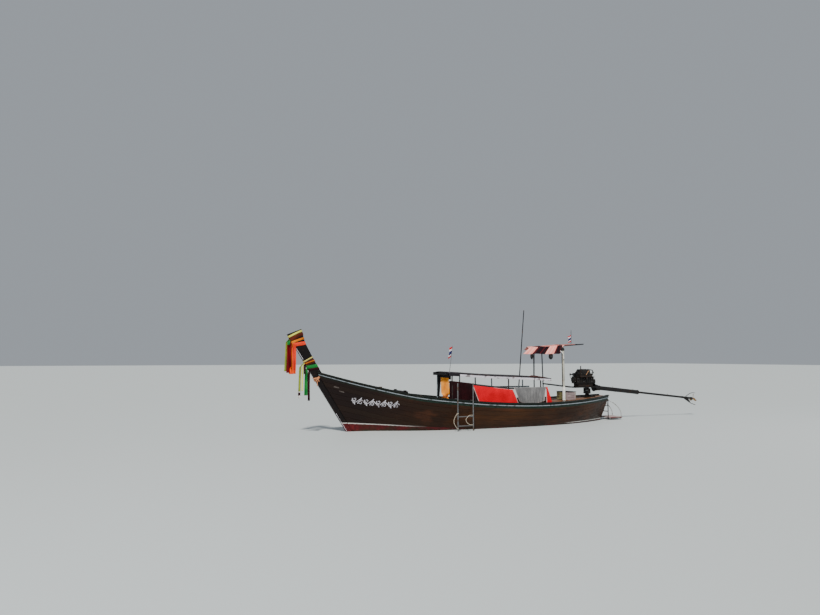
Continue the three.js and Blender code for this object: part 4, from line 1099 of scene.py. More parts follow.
def yellow_gather(u, v):
    z = between(YELLOW_TOP, YELLOW_FOOT, v)
    tie = math.exp(-((z - YELLOW_TIE) / 0.050) ** 2)
    y = between(0.10, 0.16, v) + (2 * u - 1) * YELLOW_HALF * (1 - 0.50 * tie)
    fold = math.sin(13 * math.pi * u + 0.5 * math.sin(7 * u))
    depth = 0.012 + 0.009 * v
    return (FRONT_X + 0.030 + depth * fold * (1 - 0.25 * tie) + 0.006 * tie, y, z)


def roll_turns(u, v):
    angle = 2 * math.pi * ROLL_TURNS * v
    radius = 0.0125 + 0.0205 * v
    y = between(-ROLL_HALF, ROLL_HALF, u)
    pinch = 1 - 0.10 * sum(math.exp(-((y - t) / 0.012) ** 2) for t in ROLL_TIES)
    out = radius * pinch + 0.0015 * math.sin(9 * y + angle)
    return (ROLL_X + out * math.sin(angle), y, ROLL_Z + out * math.cos(angle))


cloth_sheet("black_front_curtain", front_curtain, 60, 26, BLACK_TARP,
            "front_curtain")
cloth_sheet("black_front_valance", front_valance, 70, 8, BLACK_TARP)
cloth_sheet("yellow_tied_cloth", yellow_gather, 110, 44, YELLOW_CLOTH,
            "yellow_cloth")
cloth_sheet("tarpaulin_roll", roll_turns, 70, 96, BLACK_TARP,
            "rolled_tarp", thick=0.0022)
print("front cloths hung")

# %% [markdown]
# # Ropes and lashings
# A lashing is a few turns of rope drawn tight, so each turn is a closed loop with a tube along it.
# Strands could be modelled, but at this size a fine wave in the finish gives them.

# %% Rope finishes and ties
def rope_finish(name, colour, dark):
    f = Finish(name, 0.85)
    strands = f.weave(160, (0.6, 0.6, 0.3), 1.5)
    fuzz = f.noise(90, (1, 1, 1), 4)
    f.colour(f.mix(f.step(f.sum("MULTIPLY", strands, fuzz), 0.1, 0.45), dark, colour))
    return f.bump(f.sum("ADD", strands, fuzz), 0.6, 0.0025)


PEACH_ROPE = rope_finish("peach_rope", (0.80, 0.36, 0.17), (0.40, 0.13, 0.055))
PALE_ROPE = rope_finish("pale_rope", (0.56, 0.50, 0.40), (0.24, 0.20, 0.15))
ORANGE_ROPE = rope_finish("orange_cord", (0.72, 0.22, 0.045), (0.34, 0.08, 0.02))
BLACK_CORD = rope_finish("black_cord", (0.018, 0.015, 0.016), (0.006, 0.005, 0.006))


def lashing(name, rings, radius, material, slot="ribbon_cloth", extra=()):
    """Closed turns of rope, with open ends that grow thinner at their tips."""
    shape = Shape()
    for ring in rings:
        shape.tube(ring, radius, 8, closed=True)
    for path in extra:
        shape.tube(path, [radius * k for k in [0.9] * (len(path) - 1) + [0.55]], 8)
    return shape.piece(name, material, slot, smooth=60)


def loop(centre, along, across, reach, lift, steps=28):
    """Closed oval of points round a centre."""
    a, b = Vector(along).normalized() * reach, Vector(across).normalized() * lift
    turns = [2 * math.pi * n / steps for n in range(steps)]
    return [Vector(centre) + a * math.cos(t) + b * math.sin(t) for t in turns]


ties = [loop((ROLL_X, y + d, ROLL_Z), (1, 0, 0), (0, 0, 1), 0.0335, 0.0335) for y in ROLL_TIES
        for d in (-0.006, 0.006)]
lashing("tarpaulin_ties", ties, 0.0032, BLACK_CORD, slot="black_cloth")
TIE_Y = 0.150
TIE_FRONT = FRONT_X + 0.062
wraps = [loop((FRONT_X + 0.034, TIE_Y, YELLOW_TIE + d), (1, 0, 0), (0, 1, 0), 0.033, 0.148)
         for d in (-0.014, 0.0, 0.014)]
ends = [[(TIE_FRONT, TIE_Y + side * (0.012 + 0.05 * t), YELLOW_TIE - 0.075 * t ** 1.4)
         for t in [k / 9 for k in range(10)]] for side in (1, -1)]
bow = [[(TIE_FRONT, TIE_Y + 0.10 + side * 0.045 * math.sin(a), YELLOW_TIE + 0.028 * (1 - math.cos(a)) * 0.5)
        for a in [math.pi * k / 9 for k in range(10)]] for side in (1, -1)]
lashing("yellow_cloth_tie", wraps, 0.0065, ORANGE_ROPE, slot="yellow_cloth", extra=ends + bow)
print("front opening dressed")

# %% [markdown]
# # The canopy's roof
# The roof is boarded fore and aft under dark paint. Nine boards are lofted along the CAD roof's own
# edge line, so the gaps between them are real joints, where one panel would look moulded.

# %% Board the roof
ROOF_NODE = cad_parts["canopy_roof"]
ROOF_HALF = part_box("canopy_roof")[1][1]
ROOF_PANEL = 0.014
ROOF_CAMBER = 0.045


def roof_edge_places():
    """Places along the boat and heights of the roof's under side at its edge."""
    low = {}
    for v in ROOF_NODE.data.vertices:
        if abs(v.co.y - ROOF_HALF) < 0.002:
            x = round(v.co.x, 3)
            low[x] = min(low.get(x, 9), v.co.z)
    return sorted(low.items(), reverse=True)


ROOF_LINE = roof_edge_places()


def roof_z(x, y):
    """Under side of the roof, with its camber."""
    i = 0
    while i < len(ROOF_LINE) - 2 and x < ROOF_LINE[i + 1][0]:
        i += 1
    (x0, z0), (x1, z1) = ROOF_LINE[i], ROOF_LINE[i + 1]
    t = (x - x0) / (x1 - x0)
    return z0 + (z1 - z0) * t + ROOF_CAMBER * (1 - (y / ROOF_HALF) ** 2)


def roof_boards():
    """Nine boards fore and aft, a little below the CAD panel so that their joints stay open."""
    count, gap, lift = 9, 0.0012, 0.0015
    width = 2 * ROOF_HALF / count
    shape, tones = Shape(), []
    chance = random.Random("roof")
    for b in range(count):
        y0 = -ROOF_HALF + b * width + gap
        y1 = y0 + width - 2 * gap
        rings = []
        for x, _ in ROOF_LINE:
            low0, low1 = roof_z(x, y0) - lift, roof_z(x, y1) - lift
            rings.append([(x, y0, low0), (x, y1, low1), (x, y1, low1 + ROOF_PANEL),
                          (x, y0, low0 + ROOF_PANEL)])
        shape.loft(rings)
        tones += [chance.random()] * (4 * len(rings))
    piece = shape.piece("roof_boards", ROOF_PAINT, "roof_board", smooth=20, bevel=0.002,
                        replaces="canopy_roof")
    point_numbers(piece.data, "plank_tone", tones)
    return piece


print("roof line from", ROOF_LINE[0], "to", ROOF_LINE[-1])

# %% [markdown]
# # The roof's fascia and frame
# Along each side of the roof a dark board lies over a pale one, dark on the foremost metre. The step
# between two boards catches the light, as paint on one board wouldn't, so each is its own loft.

# %% Fascia and frame
FASCIA = {"low": -0.063, "joint": -0.001, "top": 0.024, "dark_from": 1.02}


def roof_fascia(word, side):
    """Two boards along the roof's side, from its fore end to its aft end."""
    inner, outer = ROOF_HALF + 0.0006, ROOF_HALF + 0.0175
    shape = Shape()
    places = [x for x, _ in ROOF_LINE]
    fore = [x for x in places if x > FASCIA["dark_from"]] + [FASCIA["dark_from"]]
    aft = [FASCIA["dark_from"]] + [x for x in places if x < FASCIA["dark_from"]]
    for rows, low, top, out, paint in (
            (places, FASCIA["joint"], FASCIA["top"], outer, 0),
            (aft, FASCIA["low"], FASCIA["joint"] - 0.001, outer - 0.003, 1),
            (fore, FASCIA["low"], FASCIA["joint"] - 0.001, outer - 0.003, 0)):
        rings = []
        for x in rows:
            z = roof_z(x, ROOF_HALF)
            rings.append([(x, side * inner, z + low), (x, side * out, z + low),
                          (x, side * out, z + top), (x, side * inner, z + top)])
        shape.loft(rings, paint)
    return shape.piece(f"roof_fascia_{word}", [ROOF_PAINT, WHITE_PAINT], "white_trim", smooth=20,
                       bevel=0.0025, replaces=f"canopy_edge_{word}")


def two_sided_frame_finish():
    """Dark timber, and pale paint on the starboard posts."""
    f = Finish("canopy_frame_paint", 0.5)
    y = f.axis("Y")
    chips = f.noise(12, (1, 1, 1), 6)
    dark = f.mix(f.step(chips, 0.6, 0.66), (0.016, 0.011, 0.011), (0.06, 0.035, 0.022))
    pale = f.mix(f.step(chips, 0.55, 0.65), (0.36, 0.44, 0.47), (0.20, 0.24, 0.25))
    f.colour(f.mix(f.step(y, -0.40, -0.41), dark, pale))
    f.rough(f.step(chips, 0.3, 0.7, 0.42, 0.62))
    return f.bump(chips, 0.25, 0.001)


roof = roof_boards()
for word, side in SIDES:
    roof_fascia(word, side)
dress("canopy_frame", two_sided_frame_finish(), 0.003)
print("roof boards", len(roof.data.polygons), "faces")

# %% [markdown]
# # Metal finishes
# Engine and tail are black cast iron with oil, soot and rust. Tubes are bare grey or painted white,
# and the propeller is stained bronze. One helper gives them all, as they differ in tone and shine.

# %% Metals
def metal_finish(name, main, shade, stain, roughness=0.45, metallic=0.6, scale=14, stain_share=0.25):
    """Cast or drawn metal in two tones, with stains over a share of it."""
    f = Finish(name, roughness, metallic, Specular_IOR_Level=0.25)
    cast = f.noise(scale * 5, (1, 1, 1), 4)
    patches = f.noise(scale, (1, 1, 1), 6)
    base = f.mix(f.step(patches, 0.35, 0.7), main, shade)
    edge = 0.72 - stain_share * 0.6
    stains = f.noise(scale * 0.55, (1, 1, 1.4), 6, (4, 1, 7))
    f.colour(f.mix(f.step(stains, edge, edge + 0.06), base, stain))
    f.rough(f.step(patches, 0.3, 0.75, roughness - 0.12, min(roughness + 0.22, 1)))
    return f.bump(f.sum("ADD", cast, patches), 0.35, 0.0012)


IRON_BLACK = metal_finish("oiled_black_iron", (0.0095, 0.0090, 0.0088), (0.016, 0.012, 0.010),
                          (0.032, 0.014, 0.008), 0.46, 0.25, 14, 0.12)
IRON_SOOT = metal_finish("sooty_exhaust_iron", (0.013, 0.011, 0.010), (0.024, 0.014, 0.010),
                         (0.060, 0.025, 0.012), 0.7, 0.15, 18, 0.2)
TAIL_IRON = metal_finish("black_tail_tube", (0.010, 0.010, 0.011), (0.016, 0.013, 0.012),
                         (0.026, 0.013, 0.008), 0.42, 0.3, 9, 0.12)
ENGINE_RED = metal_finish("faded_red_engine_paint", (0.070, 0.012, 0.009), (0.026, 0.008, 0.007),
                          (0.012, 0.010, 0.009), 0.5, 0.1, 16, 0.6)
BARE_STEEL = metal_finish("dull_grey_steel", (0.30, 0.31, 0.32), (0.19, 0.195, 0.20),
                          (0.20, 0.13, 0.08), 0.42, 0.75, 11, 0.18)
DARK_STEEL = metal_finish("dark_steel_tube", (0.030, 0.030, 0.034), (0.016, 0.016, 0.018),
                          (0.08, 0.04, 0.022), 0.45, 0.4, 12)
WHITE_STEEL = metal_finish("white_painted_tube", (0.80, 0.80, 0.76), (0.58, 0.58, 0.54),
                           (0.26, 0.16, 0.09), 0.45, 0.0, 10, 0.12)
BRONZE = metal_finish("stained_bronze", (0.42, 0.235, 0.085), (0.24, 0.125, 0.050),
                      (0.070, 0.105, 0.072), 0.36, 0.9, 26, 0.35)
RUBBER = metal_finish("black_rubber", (0.011, 0.011, 0.011), (0.020, 0.020, 0.020),
                      (0.05, 0.045, 0.04), 0.8, 0.0, 30, 0.1)
print("metal finishes ready")

# %% [markdown]
# # The helmsman's awning
# A striped cloth lies over two poles, sags a little between the cross bars and hangs down on the port
# side, where its fore corner reaches forward. The stripes follow the cloth's own rows, as printed
# cloth does.

# %% Awning cloth
AWNING_FORE = {PORT: -1.270, STARBOARD: -1.980}
AWNING_AFT, AWNING_HALF = -3.270, 0.620
AWNING_RISE = (2.300, 2.440)
AWNING_REACH = {PORT: 0.310, STARBOARD: 0.060}
AWNING_LOW_EDGE = {PORT: 2.112, STARBOARD: 2.245}
AWNING_SAG, SAG_BUILDS_OVER = 0.020, 0.12
# Shares across the cloth where its two hanging sides begin
SIDE_SHARES = (0.10, 0.82)
# How much of the drop and of the reach is left at shares from the fore edge aft
DROP_SHARES = ((0, 1), (0.55, 1), (0.60, 0.1), (0.62, 0), (1, 0))
REACH_SHARES = ((0, 1), (0.48, 0.95), (0.56, 0.35), (0.62, 0), (1, 0))
# Shares fore and aft of the three cross bars at their starboard and port ends
BAR_SHARES = ((0.127, 0.132), (0.458, 0.575), (0.859, 0.906))
# Shares fore and aft against periods of the stripes
STRIPES = ((0, 0), (0.15, 0.5), (0.365, 1.0), (0.50, 1.5), (0.585, 2.0), (0.815, 2.5), (1, 3.0))


def stepped(rows, t):
    for (t0, s0), (t1, s1) in zip(rows, rows[1:]):
        if t <= t1:
            return s0 + (s1 - s0) * (t - t0) / (t1 - t0)
    return rows[-1][1]


def awning_top(x):
    t = (AWNING_FORE[PORT] - x) / (AWNING_FORE[PORT] - AWNING_AFT)
    return between(*AWNING_RISE, t)


def awning_at(u, v):
    """u runs from the starboard low edge to the port low edge, v from the fore edge aft."""
    first, last = SIDE_SHARES
    y = AWNING_HALF * (2 * min(max((u - first) / (last - first), 0), 1) - 1)
    from_starboard = (y / AWNING_HALF + 1) / 2
    fore = between(AWNING_FORE[STARBOARD], AWNING_FORE[PORT], from_starboard)
    x = fore + (AWNING_AFT - fore) * v
    from_bar = min(abs(v - between(*ends, from_starboard)) for ends in BAR_SHARES)
    sag = AWNING_SAG * (1 - (y / AWNING_HALF) ** 2) * min(from_bar / SAG_BUILDS_OVER, 1)
    z = awning_top(x) - 0.006 - sag * (0.6 + 0.4 * math.sin(7 * v + 1)) + 0.003 * math.sin(23 * v + 3 * u)
    down = 0.0
    if u < first:
        down, side = (first - u) / first, STARBOARD
    elif u > last:
        down, side = (u - last) / (1 - last), PORT
    if down:
        drop = (awning_top(x) - AWNING_LOW_EDGE[side]) * stepped(DROP_SHARES, v)
        low = drop + 0.004 * math.sin(19 * v)
        ripple = 0.009 * math.sin(31 * v + 2 * down) * down
        x += AWNING_REACH[side] * stepped(REACH_SHARES, v) * down
        y += side * ((0.03 + max(low, 0) / 2) * down + ripple)
        z -= low * down
    return (x, y, z)


def stripe_place(u, v):
    return stepped(STRIPES, v)


cloth_sheet("striped_awning", awning_at, 84, 96, AWNING_CLOTH,
            "awning_cloth", numbers=("stripe_place", stripe_place))
print("awning laid over", len(BAR_SHARES), "bars")

# %% [markdown]
# # The awning's frame and cords
# The frame is the CAD's. Black cord binds the port leg to its pole in a thick knob, and hanks of
# spare cord hang from the cloth's edge. Crossing loops give a hank its ragged outline.

# %% Awning frame and cords
def awning_frame_finish():
    """Dark tubes, and cream paint on the stout port leg."""
    f = Finish("awning_tube_paint", 0.5, 0.2)
    x, y, z = f.axis("X"), f.axis("Y"), f.axis("Z")
    chips = f.noise(13, (1, 1, 0.4), 6)
    by_leg = f.sum("MULTIPLY", f.step(x, -2.35, -2.36), f.step(x, -2.46, -2.45))
    near = f.sum("MULTIPLY", f.step(y, 0.66, 0.67), by_leg)
    dark = f.mix(f.step(chips, 0.55, 0.66), (0.022, 0.022, 0.026), (0.07, 0.045, 0.03))
    cream = f.mix(f.step(chips, 0.42, 0.62), (0.50, 0.49, 0.42), (0.30, 0.29, 0.25))
    f.colour(f.mix(f.sum("MULTIPLY", near, f.step(z, 2.24, 2.22)), dark, cream))
    f.rough(f.step(chips, 0.3, 0.7, 0.4, 0.6))
    return f.bump(chips, 0.3, 0.001)


dress("awning_frame", awning_frame_finish())
LEG = Vector((-2.400, 0.715, 0))


def cord_hank(name, top, tall, wide, turn, radius=0.0075):
    """Coil of cord hung up by its middle: long loops, bound with three turns near the top."""
    shape = Shape()
    loops, binding = 6, 3
    for n in range(loops):
        angle = turn + (n - loops / 2) * 0.22
        spread = wide * (0.55 + 0.45 * math.sin(2.1 * n + 1) ** 2) / 2
        length = tall * (1 - 0.10 * (n % 3)) / 2
        centre = Vector(top) - Vector((0, 0, length)) + Vector((0, 0.004 * (n - loops / 2), 0))
        along = (math.cos(angle), math.sin(angle), 0)
        shape.tube(loop(centre, along, (0, 0, 1), spread, length, 26), radius, 7, closed=True)
    for n in range(binding):
        middle = Vector(top) - Vector((0, 0, tall * 0.22 + n * 1.7 * radius))
        shape.tube(loop(middle, (1, 0, 0), (0, 1, 0), wide * 0.27, wide * 0.25, 18), radius, 7, closed=True)
    return shape.piece(name, BLACK_CORD, "black_cloth", smooth=60)


cord_hank("cord_hank_fore", (-1.270, 0.735, 2.118), 0.165, 0.085, 0.35)
cord_hank("cord_hank_mid", (-1.945, 0.735, 2.118), 0.165, 0.125, 0.1, 0.013)
POLE_Y, POLE_DROP = 0.612, 0.029
knob = [loop((LEG.x + d, POLE_Y, awning_top(LEG.x) - POLE_DROP + 0.1 * d), (0, 1, 0), (0, 0, 1),
             0.026, 0.026, 18) for d in (-0.030, 0.030)]
for n in range(5):
    thick = 0.036 + 0.012 * math.sin(math.pi * (n + 0.5) / 5)
    knob.append(loop((LEG.x - 0.004, 0.650 + 0.0125 * n, 2.290 - 0.018 * n), (1, 0, 0), (0, 1, 0.4),
                     thick, thick, 18))
lashing("awning_leg_lashing", knob, 0.0125, BLACK_CORD, slot="black_cloth")
print("cords tied")

# %% [markdown]
# # The awning's stout leg
# A white sleeve strengthens the port leg's foot, with a thin dark rod at its fore side, a bent brace
# from the cloth and a dark red chock on the roof. The rod is painted shade that stands for the shaded
# fore side of the leg. Each is one lathe form, tube or loft in its own place.

# %% Brace, sleeve, painted shade rod and chock
BRACE_PATH = ((-2.285, 0.735, 2.195), (-2.312, 0.742, 2.185), (-2.345, 0.750, 2.155),
              (-2.368, 0.757, 2.105), (-2.380, 0.760, 2.045), (-2.384, 0.760, 1.960))
SLEEVE_FOOT = 0.716
SLEEVE = ((0, 0.050), (0.012, 0.050), (0.016, 0.041), (0.400, 0.041), (0.408, 0.037), (0.408, 0.0345))
# Offsets from the leg of a thin dark rod at its fore side: painted shade that stands for the leg's shaded
# side
SHADE_ROD = ((0.049, 0.006, 1.12), (0.047, 0.004, 2.205))
# Places along the boat and heights of the chock on the roof
CHOCK = ((-1.33, 0.012), (-1.43, 0.050), (-1.54, 0.050), (-1.98, 0.008))


def chock_ring(x, tall):
    outline = ((0.44, 0), (0.535, 0), (0.530, tall), (0.445, tall))
    return [(x, y, roof_z(x, y) + ROOF_PANEL + 0.001 + z) for y, z in outline]


CHOCK_RED = metal_finish("dark_red_chock", (0.055, 0.014, 0.012), (0.030, 0.010, 0.009),
                         (0.11, 0.07, 0.06), 0.6, 0.0)
Shape().tube(BRACE_PATH, 0.014, 12).piece("curved_awning_brace", WHITE_STEEL, "steel_tube", smooth=60)
Shape().turned((LEG.x, LEG.y, SLEEVE_FOOT), (0, 0, 1), SLEEVE, 20).piece(
    "awning_leg_sleeve", WHITE_STEEL, "steel_tube", smooth=40)
# A dark rod by the leg, as painted shade on the leg's fore side
Shape().bar(*((LEG.x + x, LEG.y + y, z) for x, y, z in SHADE_ROD), 0.0125).piece(
    "awning_leg_shade_rod", DARK_STEEL, "steel_tube", smooth=50)
Shape().loft([chock_ring(*row) for row in CHOCK]).piece(
    "awning_leg_chock", CHOCK_RED, "canopy_wood", smooth=20, bevel=0.004)
print("awning dressed")

# %% [markdown]
# # Flags
# Two small limp flags hang from thin staffs. A limp flag gathers under its hoist and its fly sinks,
# so the bands show as broken patches. Each is a grid that narrows in folds, as a flat flag wouldn't.

# %% Hang the flags
dress("fore_flag_staff", BARE_STEEL)
dress("aft_flag_staff", DARK_STEEL)
dress("mast", DARK_STEEL)
FORE_STAFF = ((1.335, 0.500, 1.560), (1.230, 0.500, 2.330))
AFT_STAFF = ((-2.795, 0.590, 2.408), (-2.805, 0.590, 2.840))
STAFF_HALF, FLY_SINKS = 0.010, 0.050


def limp_flag(staff, high, low, fly, turns, phase):
    """Folded grid from a staff: u to the fly, v down the hoist; a fly below nought runs forward."""
    foot, top = staff

    def at(u, v):
        z = between(high, low, v)
        t = (z - foot[2]) / (top[2] - foot[2])
        x = between(foot[0], top[0], t) + STAFF_HALF
        swing = 0.028 * math.sin(2 * math.pi * turns * u + phase + 2.4 * v) * min(1, 4 * u)
        curlback = 0.35 * math.sin(math.pi * u) * fly
        narrow = 1 - 0.35 * v
        return (x - fly * u * narrow + curlback * math.sin(3 * v + phase) * 0.6,
                foot[1] + swing + 0.02 * u * math.sin(5 * v),
                z - FLY_SINKS * u ** 1.4)
    return at


def hoist_share(u, v):
    return v


FORE_FLAG = limp_flag(FORE_STAFF, 2.310, 2.010, -0.105, turns=2.2, phase=0.6)
AFT_FLAG = limp_flag(AFT_STAFF, 2.690, 2.480, -0.110, turns=1.6, phase=2.0)
cloth_sheet("fore_limp_flag", FORE_FLAG, 44, 26, FLAG_CLOTH,
            "fore_flag", numbers=("flag_height", hoist_share), thick=0.001)
cloth_sheet("aft_limp_flag", AFT_FLAG, 44, 22, FLAG_CLOTH,
            "aft_flag", numbers=("flag_height", hoist_share), thick=0.001)
print("flags hung")

# %% [markdown]
# # Bands on the prow post
# Bands of cloth are wound round the head and the neck of the post, square to its lean, so they rise
# towards the stern. Paint would lie flush, so each is a closed ring of cloth that stands off the post.

# %% Wind the bands
POST_AFT = ((0.06, 3.9478), (1.900, 5.107), (2.390, 5.372), (2.755, 5.480))
POST_SQUARE = 0.30
RIBBON_TONES = {
    "lime": ((0.72, 0.72, 0.13), (0.52, 0.50, 0.07)),
    "olive": ((0.30, 0.36, 0.050), (0.15, 0.19, 0.028)),
    "brown": ((0.13, 0.020, 0.008), (0.050, 0.010, 0.005)),
    "gold": ((0.75, 0.22, 0.010), (0.40, 0.10, 0.006)),
    "orange": ((0.86, 0.060, 0.020), (0.58, 0.030, 0.010)),
    "bright_orange": ((1.0, 0.10, 0.004), (0.80, 0.06, 0.003)),
    "dark_red": ((0.17, 0.002, 0.006), (0.085, 0.001, 0.004)),
    "straw": ((0.60, 0.52, 0.16), (0.40, 0.34, 0.09)),
    "green": ((0.020, 0.24, 0.045), (0.008, 0.11, 0.020)),
    "maroon": ((0.040, 0.002, 0.008), (0.014, 0.001, 0.003)),
    "white": ((0.80, 0.78, 0.74), (0.55, 0.53, 0.50)),
}
RIBBON = {name: cloth_finish(f"{name}_ribbon", main, shade, 0.75, 600, 0.1)
          for name, (main, shade) in RIBBON_TONES.items()}
RIBBON["dark"] = RIBBON["maroon"]
# Colour, upper and lower height at the front, rise to the aft side, distance off the post
HEAD_BANDS = (
    ("lime", 2.558, 2.512, 0.180, 0.006),
    ("brown", 2.516, 2.425, 0.165, 0.009),
    ("gold", 2.420, 2.365, 0.125, 0.006),
    ("orange", 2.380, 2.290, 0.055, 0.006),
)
NECK_BANDS = (
    ("straw", 1.900, 1.868, 0.135, 0.006),
    ("brown", 1.872, 1.775, 0.105, 0.006),
    ("gold", 1.840, 1.818, 0.100, 0.011),
    ("green", 1.782, 1.700, 0.050, 0.008),
    ("maroon", 1.706, 1.655, 0.040, 0.006),
)


def post_aft(z):
    for (z0, x0), (z1, x1) in zip(POST_AFT, POST_AFT[1:]):
        if z <= z1:
            return x0 + (x1 - x0) * (z - z0) / (z1 - z0)
    return POST_AFT[-1][1]


def round_post(u, z_front, rise, out):
    """Point on a rounded outline round the leaning post; the outline rises to its aft side."""
    c, s = math.cos(2 * math.pi * u), math.sin(2 * math.pi * u)
    lengthwise = math.copysign(abs(c) ** POST_SQUARE, c)
    sideways = math.copysign(abs(s) ** POST_SQUARE, s)
    z = z_front + rise * (1 - lengthwise) / 2
    front, aft = post_front(z), post_aft(z)
    x = (front + aft) / 2 + lengthwise * ((front - aft) / 2 + 1.2 * out)
    return (x, sideways * (STEM_HALF + out), z)


def post_band(place, colour, high, low, rise, out):
    name = f"{colour}_{place}_band"
    seed = len(name)

    def at(u, v):
        wrinkle = 0.0022 * math.sin(2 * math.pi * 5 * u + 7 * v + seed) * math.sin(math.pi * v)
        bulge = 0.004 * math.sin(math.pi * v)
        z = between(high, low, v) + 0.004 * math.sin(2 * math.pi * u + seed)
        return round_post(u, z, rise, out + bulge + wrinkle)
    cloth_sheet(name, at, 80, 8, RIBBON[colour],
                f"{place}_ribbons", closed=True)


for row in HEAD_BANDS:
    post_band("head", *row)
for row in NECK_BANDS:
    post_band("neck", *row)
print("bands wound:", len(HEAD_BANDS), "at the head,", len(NECK_BANDS), "at the neck")

# %% [markdown]
# # Ribbons on the prow post
# Long ribbons hang from both sets of bands, and a rope lies round the post below them. Each ribbon is
# a narrow sheet of its own in a fold or two, because their separate feet are what shows.

# %% Hang the ribbons
# Colour, top and foot as (x, z), width, distance to port, folds
HEAD_RIBBONS = (
    ("olive", (5.770, 2.50), (5.885, 1.640), 0.060, 0.030, 1.0),
    ("green", (5.765, 2.47), (5.815, 2.330), 0.075, 0.046, 1.0),
    ("dark_red", (5.760, 2.47), (5.788, 1.600), 0.145, 0.044, 0.8),
    ("gold", (5.735, 2.42), (5.705, 1.650), 0.040, 0.062, 0.6),
)
ORANGE_RIBBON = ("orange", (5.660, 2.36), (5.668, 1.572), 0.105, 0.070, 1.3)
BRIGHT_RIBBON = ("bright_orange", (5.705, 1.75), (5.735, 1.566), 0.110, 0.046, 1.2)
OLIVE_RIBBON = ("olive", (5.385, 1.86), (5.520, 0.935), 0.062, 0.055, 1.2)
NECK_RIBBONS = (
    ("lime", (5.380, 1.86), (5.440, 1.120), 0.040, 0.070, 0.8),
    ("dark", (5.345, 1.84), (5.375, 1.560), 0.060, 0.058, 1.0),
    ("green", (5.300, 1.74), (5.342, 1.000), 0.090, 0.072, 1.5),
    ("maroon", (5.260, 1.70), (5.258, 0.858), 0.062, 0.060, 1.2),
)
# Heights at the front and rise to the aft side of the rope's turns
ROPE_TURNS = ((1.365, 0.185), (1.395, 0.175), (1.440, 0.050))
# Slant and drop of the rope's ends
ROPE_ENDS = ((0.2, 0.22), (-0.9, 0.10), (1.6, 0.02))


def hanging_ribbon(place, colour, top, foot, width, y, folds, foot_finish=None):
    """Narrow sheet that leaves the post at its top and then hangs."""
    def at(u, v):
        spread = min(1, 0.35 + 4 * v)
        x = between(top[0], foot[0], min(1, v * 8) ** 0.7 * 0.75 + 0.25 * v)
        z = between(top[1], foot[1], v)
        across = (u - 0.5) * width * spread
        fold = 0.35 * width * math.sin(2 * math.pi * folds * u + 3.2 * v + 9 * top[0])
        lift = 0.012 * math.sin(5 * v + 4 * foot[0])
        return (x + across, y + fold * 0.5 * spread + lift, z)
    paint, colours = foot_finish or (None, ())
    cloth_sheet(f"{colour}_{place}_ribbon", at, 14, 44, RIBBON[colour],
                f"{place}_ribbons", materials=[RIBBON[c] for c in colours], paint=paint, thick=0.0012)


def bright_foot(u, v):
    return 1 if v > 0.87 else 0


def tuft(u, v):
    return 1 if v > 0.93 or 0.80 < v < 0.84 else (2 if v > 0.80 else 0)


def rope_end(slant, drop):
    x, y, z = round_post(0.236, ROPE_TURNS[0][0], ROPE_TURNS[0][1], 0.030)
    return [(x + slant * 0.05 * t + 0.01 * math.sin(6 * t), y + 0.012 * math.sin(3 * t) + 0.004,
             z + 0.04 - drop * t ** 1.2) for t in [k / 10 for k in range(11)]]


for row in HEAD_RIBBONS:
    hanging_ribbon("head", *row)
hanging_ribbon("head", *ORANGE_RIBBON, (bright_foot, ("orange", "bright_orange")))
hanging_ribbon("head", *BRIGHT_RIBBON)
hanging_ribbon("neck", *OLIVE_RIBBON, (tuft, ("olive", "white", "maroon")))
for row in NECK_RIBBONS:
    hanging_ribbon("neck", *row)
turns = [[round_post((n + 0.5) / 56, z, rise, 0.015) for n in range(56)] for z, rise in ROPE_TURNS]
lashing("post_rope_turns", turns, 0.0125, PEACH_ROPE, extra=[rope_end(*row) for row in ROPE_ENDS])
print("prow post dressed")

# %% [markdown]
# # The engine's castings
# A long car engine, near black with oil, shows by its outline: ribs, fins, a domed rocker cover and
# a round housing at its aft end. A box with a texture would lose it, so castings are lofted or turned.

# %% Crankcase, head and rocker cover
SUMP = ((-3.955, -0.118, 1.076), (-3.402, 0.118, 1.182))
CRANKCASE = ((-3.998, -0.138, 1.172), (-3.334, 0.138, 1.398))
CYLINDER_HEAD = ((-3.958, -0.113, 1.392), (-3.402, 0.113, 1.486))
RIB_REACH = (0.130, 0.149)
FIN_HEIGHTS = (1.410, 1.432, 1.454, 1.474)
COVER_HALF, COVER_FOOT, COVER_TALL = 0.079, 1.486, 0.144
COVER_STATIONS = ((-3.928, 0.55), (-3.905, 0.9), (-3.80, 1.0), (-3.60, 1.0), (-3.47, 0.92), (-3.436, 0.6))
HEAD_BOLTS = (-3.93, -3.80, -3.68, -3.56, -3.43)
HOUSING = ((0, 0.130), (0.006, 0.149), (0.050, 0.149), (0.058, 0.128), (0.083, 0.122), (0.0838, 0.06))


def bolts(shape, places, axis, radius=0.009, height=0.008, paint=0):
    outline = ((0, radius), (height * 0.7, radius), (height, radius * 0.8))
    for place in places:
        shape.turned(place, axis, outline, 6, paint)


def tapered_box(shape, low, high, inset, paint):
    """Box whose upper edges are drawn in, as a casting's draft draws them."""
    (x0, y0, z0), (x1, y1, z1) = low, high
    rings = []
    tall = z1 - z0
    for z, k in ((z0, 0), (z0 + tall * 0.6, inset * 0.25), (z1 - tall * 0.12, inset * 0.7), (z1, inset)):
        rings.append([(x0 + k, y0 + k, z), (x1 - k, y0 + k, z), (x1 - k, y1 - k, z), (x0 + k, y1 - k, z)])
    shape.loft(rings, paint)


def cheek_rib(shape, low, high):
    """The same rib on both sides of the crankcase, its corners given as (x, z)."""
    for side in (1, -1):
        y0, y1 = sorted((side * RIB_REACH[0], side * RIB_REACH[1]))
        shape.box((low[0], y0, low[1]), (high[0], y1, high[1]))


def cover_ring(x, share):
    """Outline of the rocker cover, lower and narrower towards its ends."""
    half, tall = COVER_HALF * (0.5 + 0.5 * share), COVER_TALL * share
    return [(x, half * math.cos(a), COVER_FOOT + tall * math.sin(a) ** 0.55)
            for a in [math.pi * n / 10 for n in range(11)]]


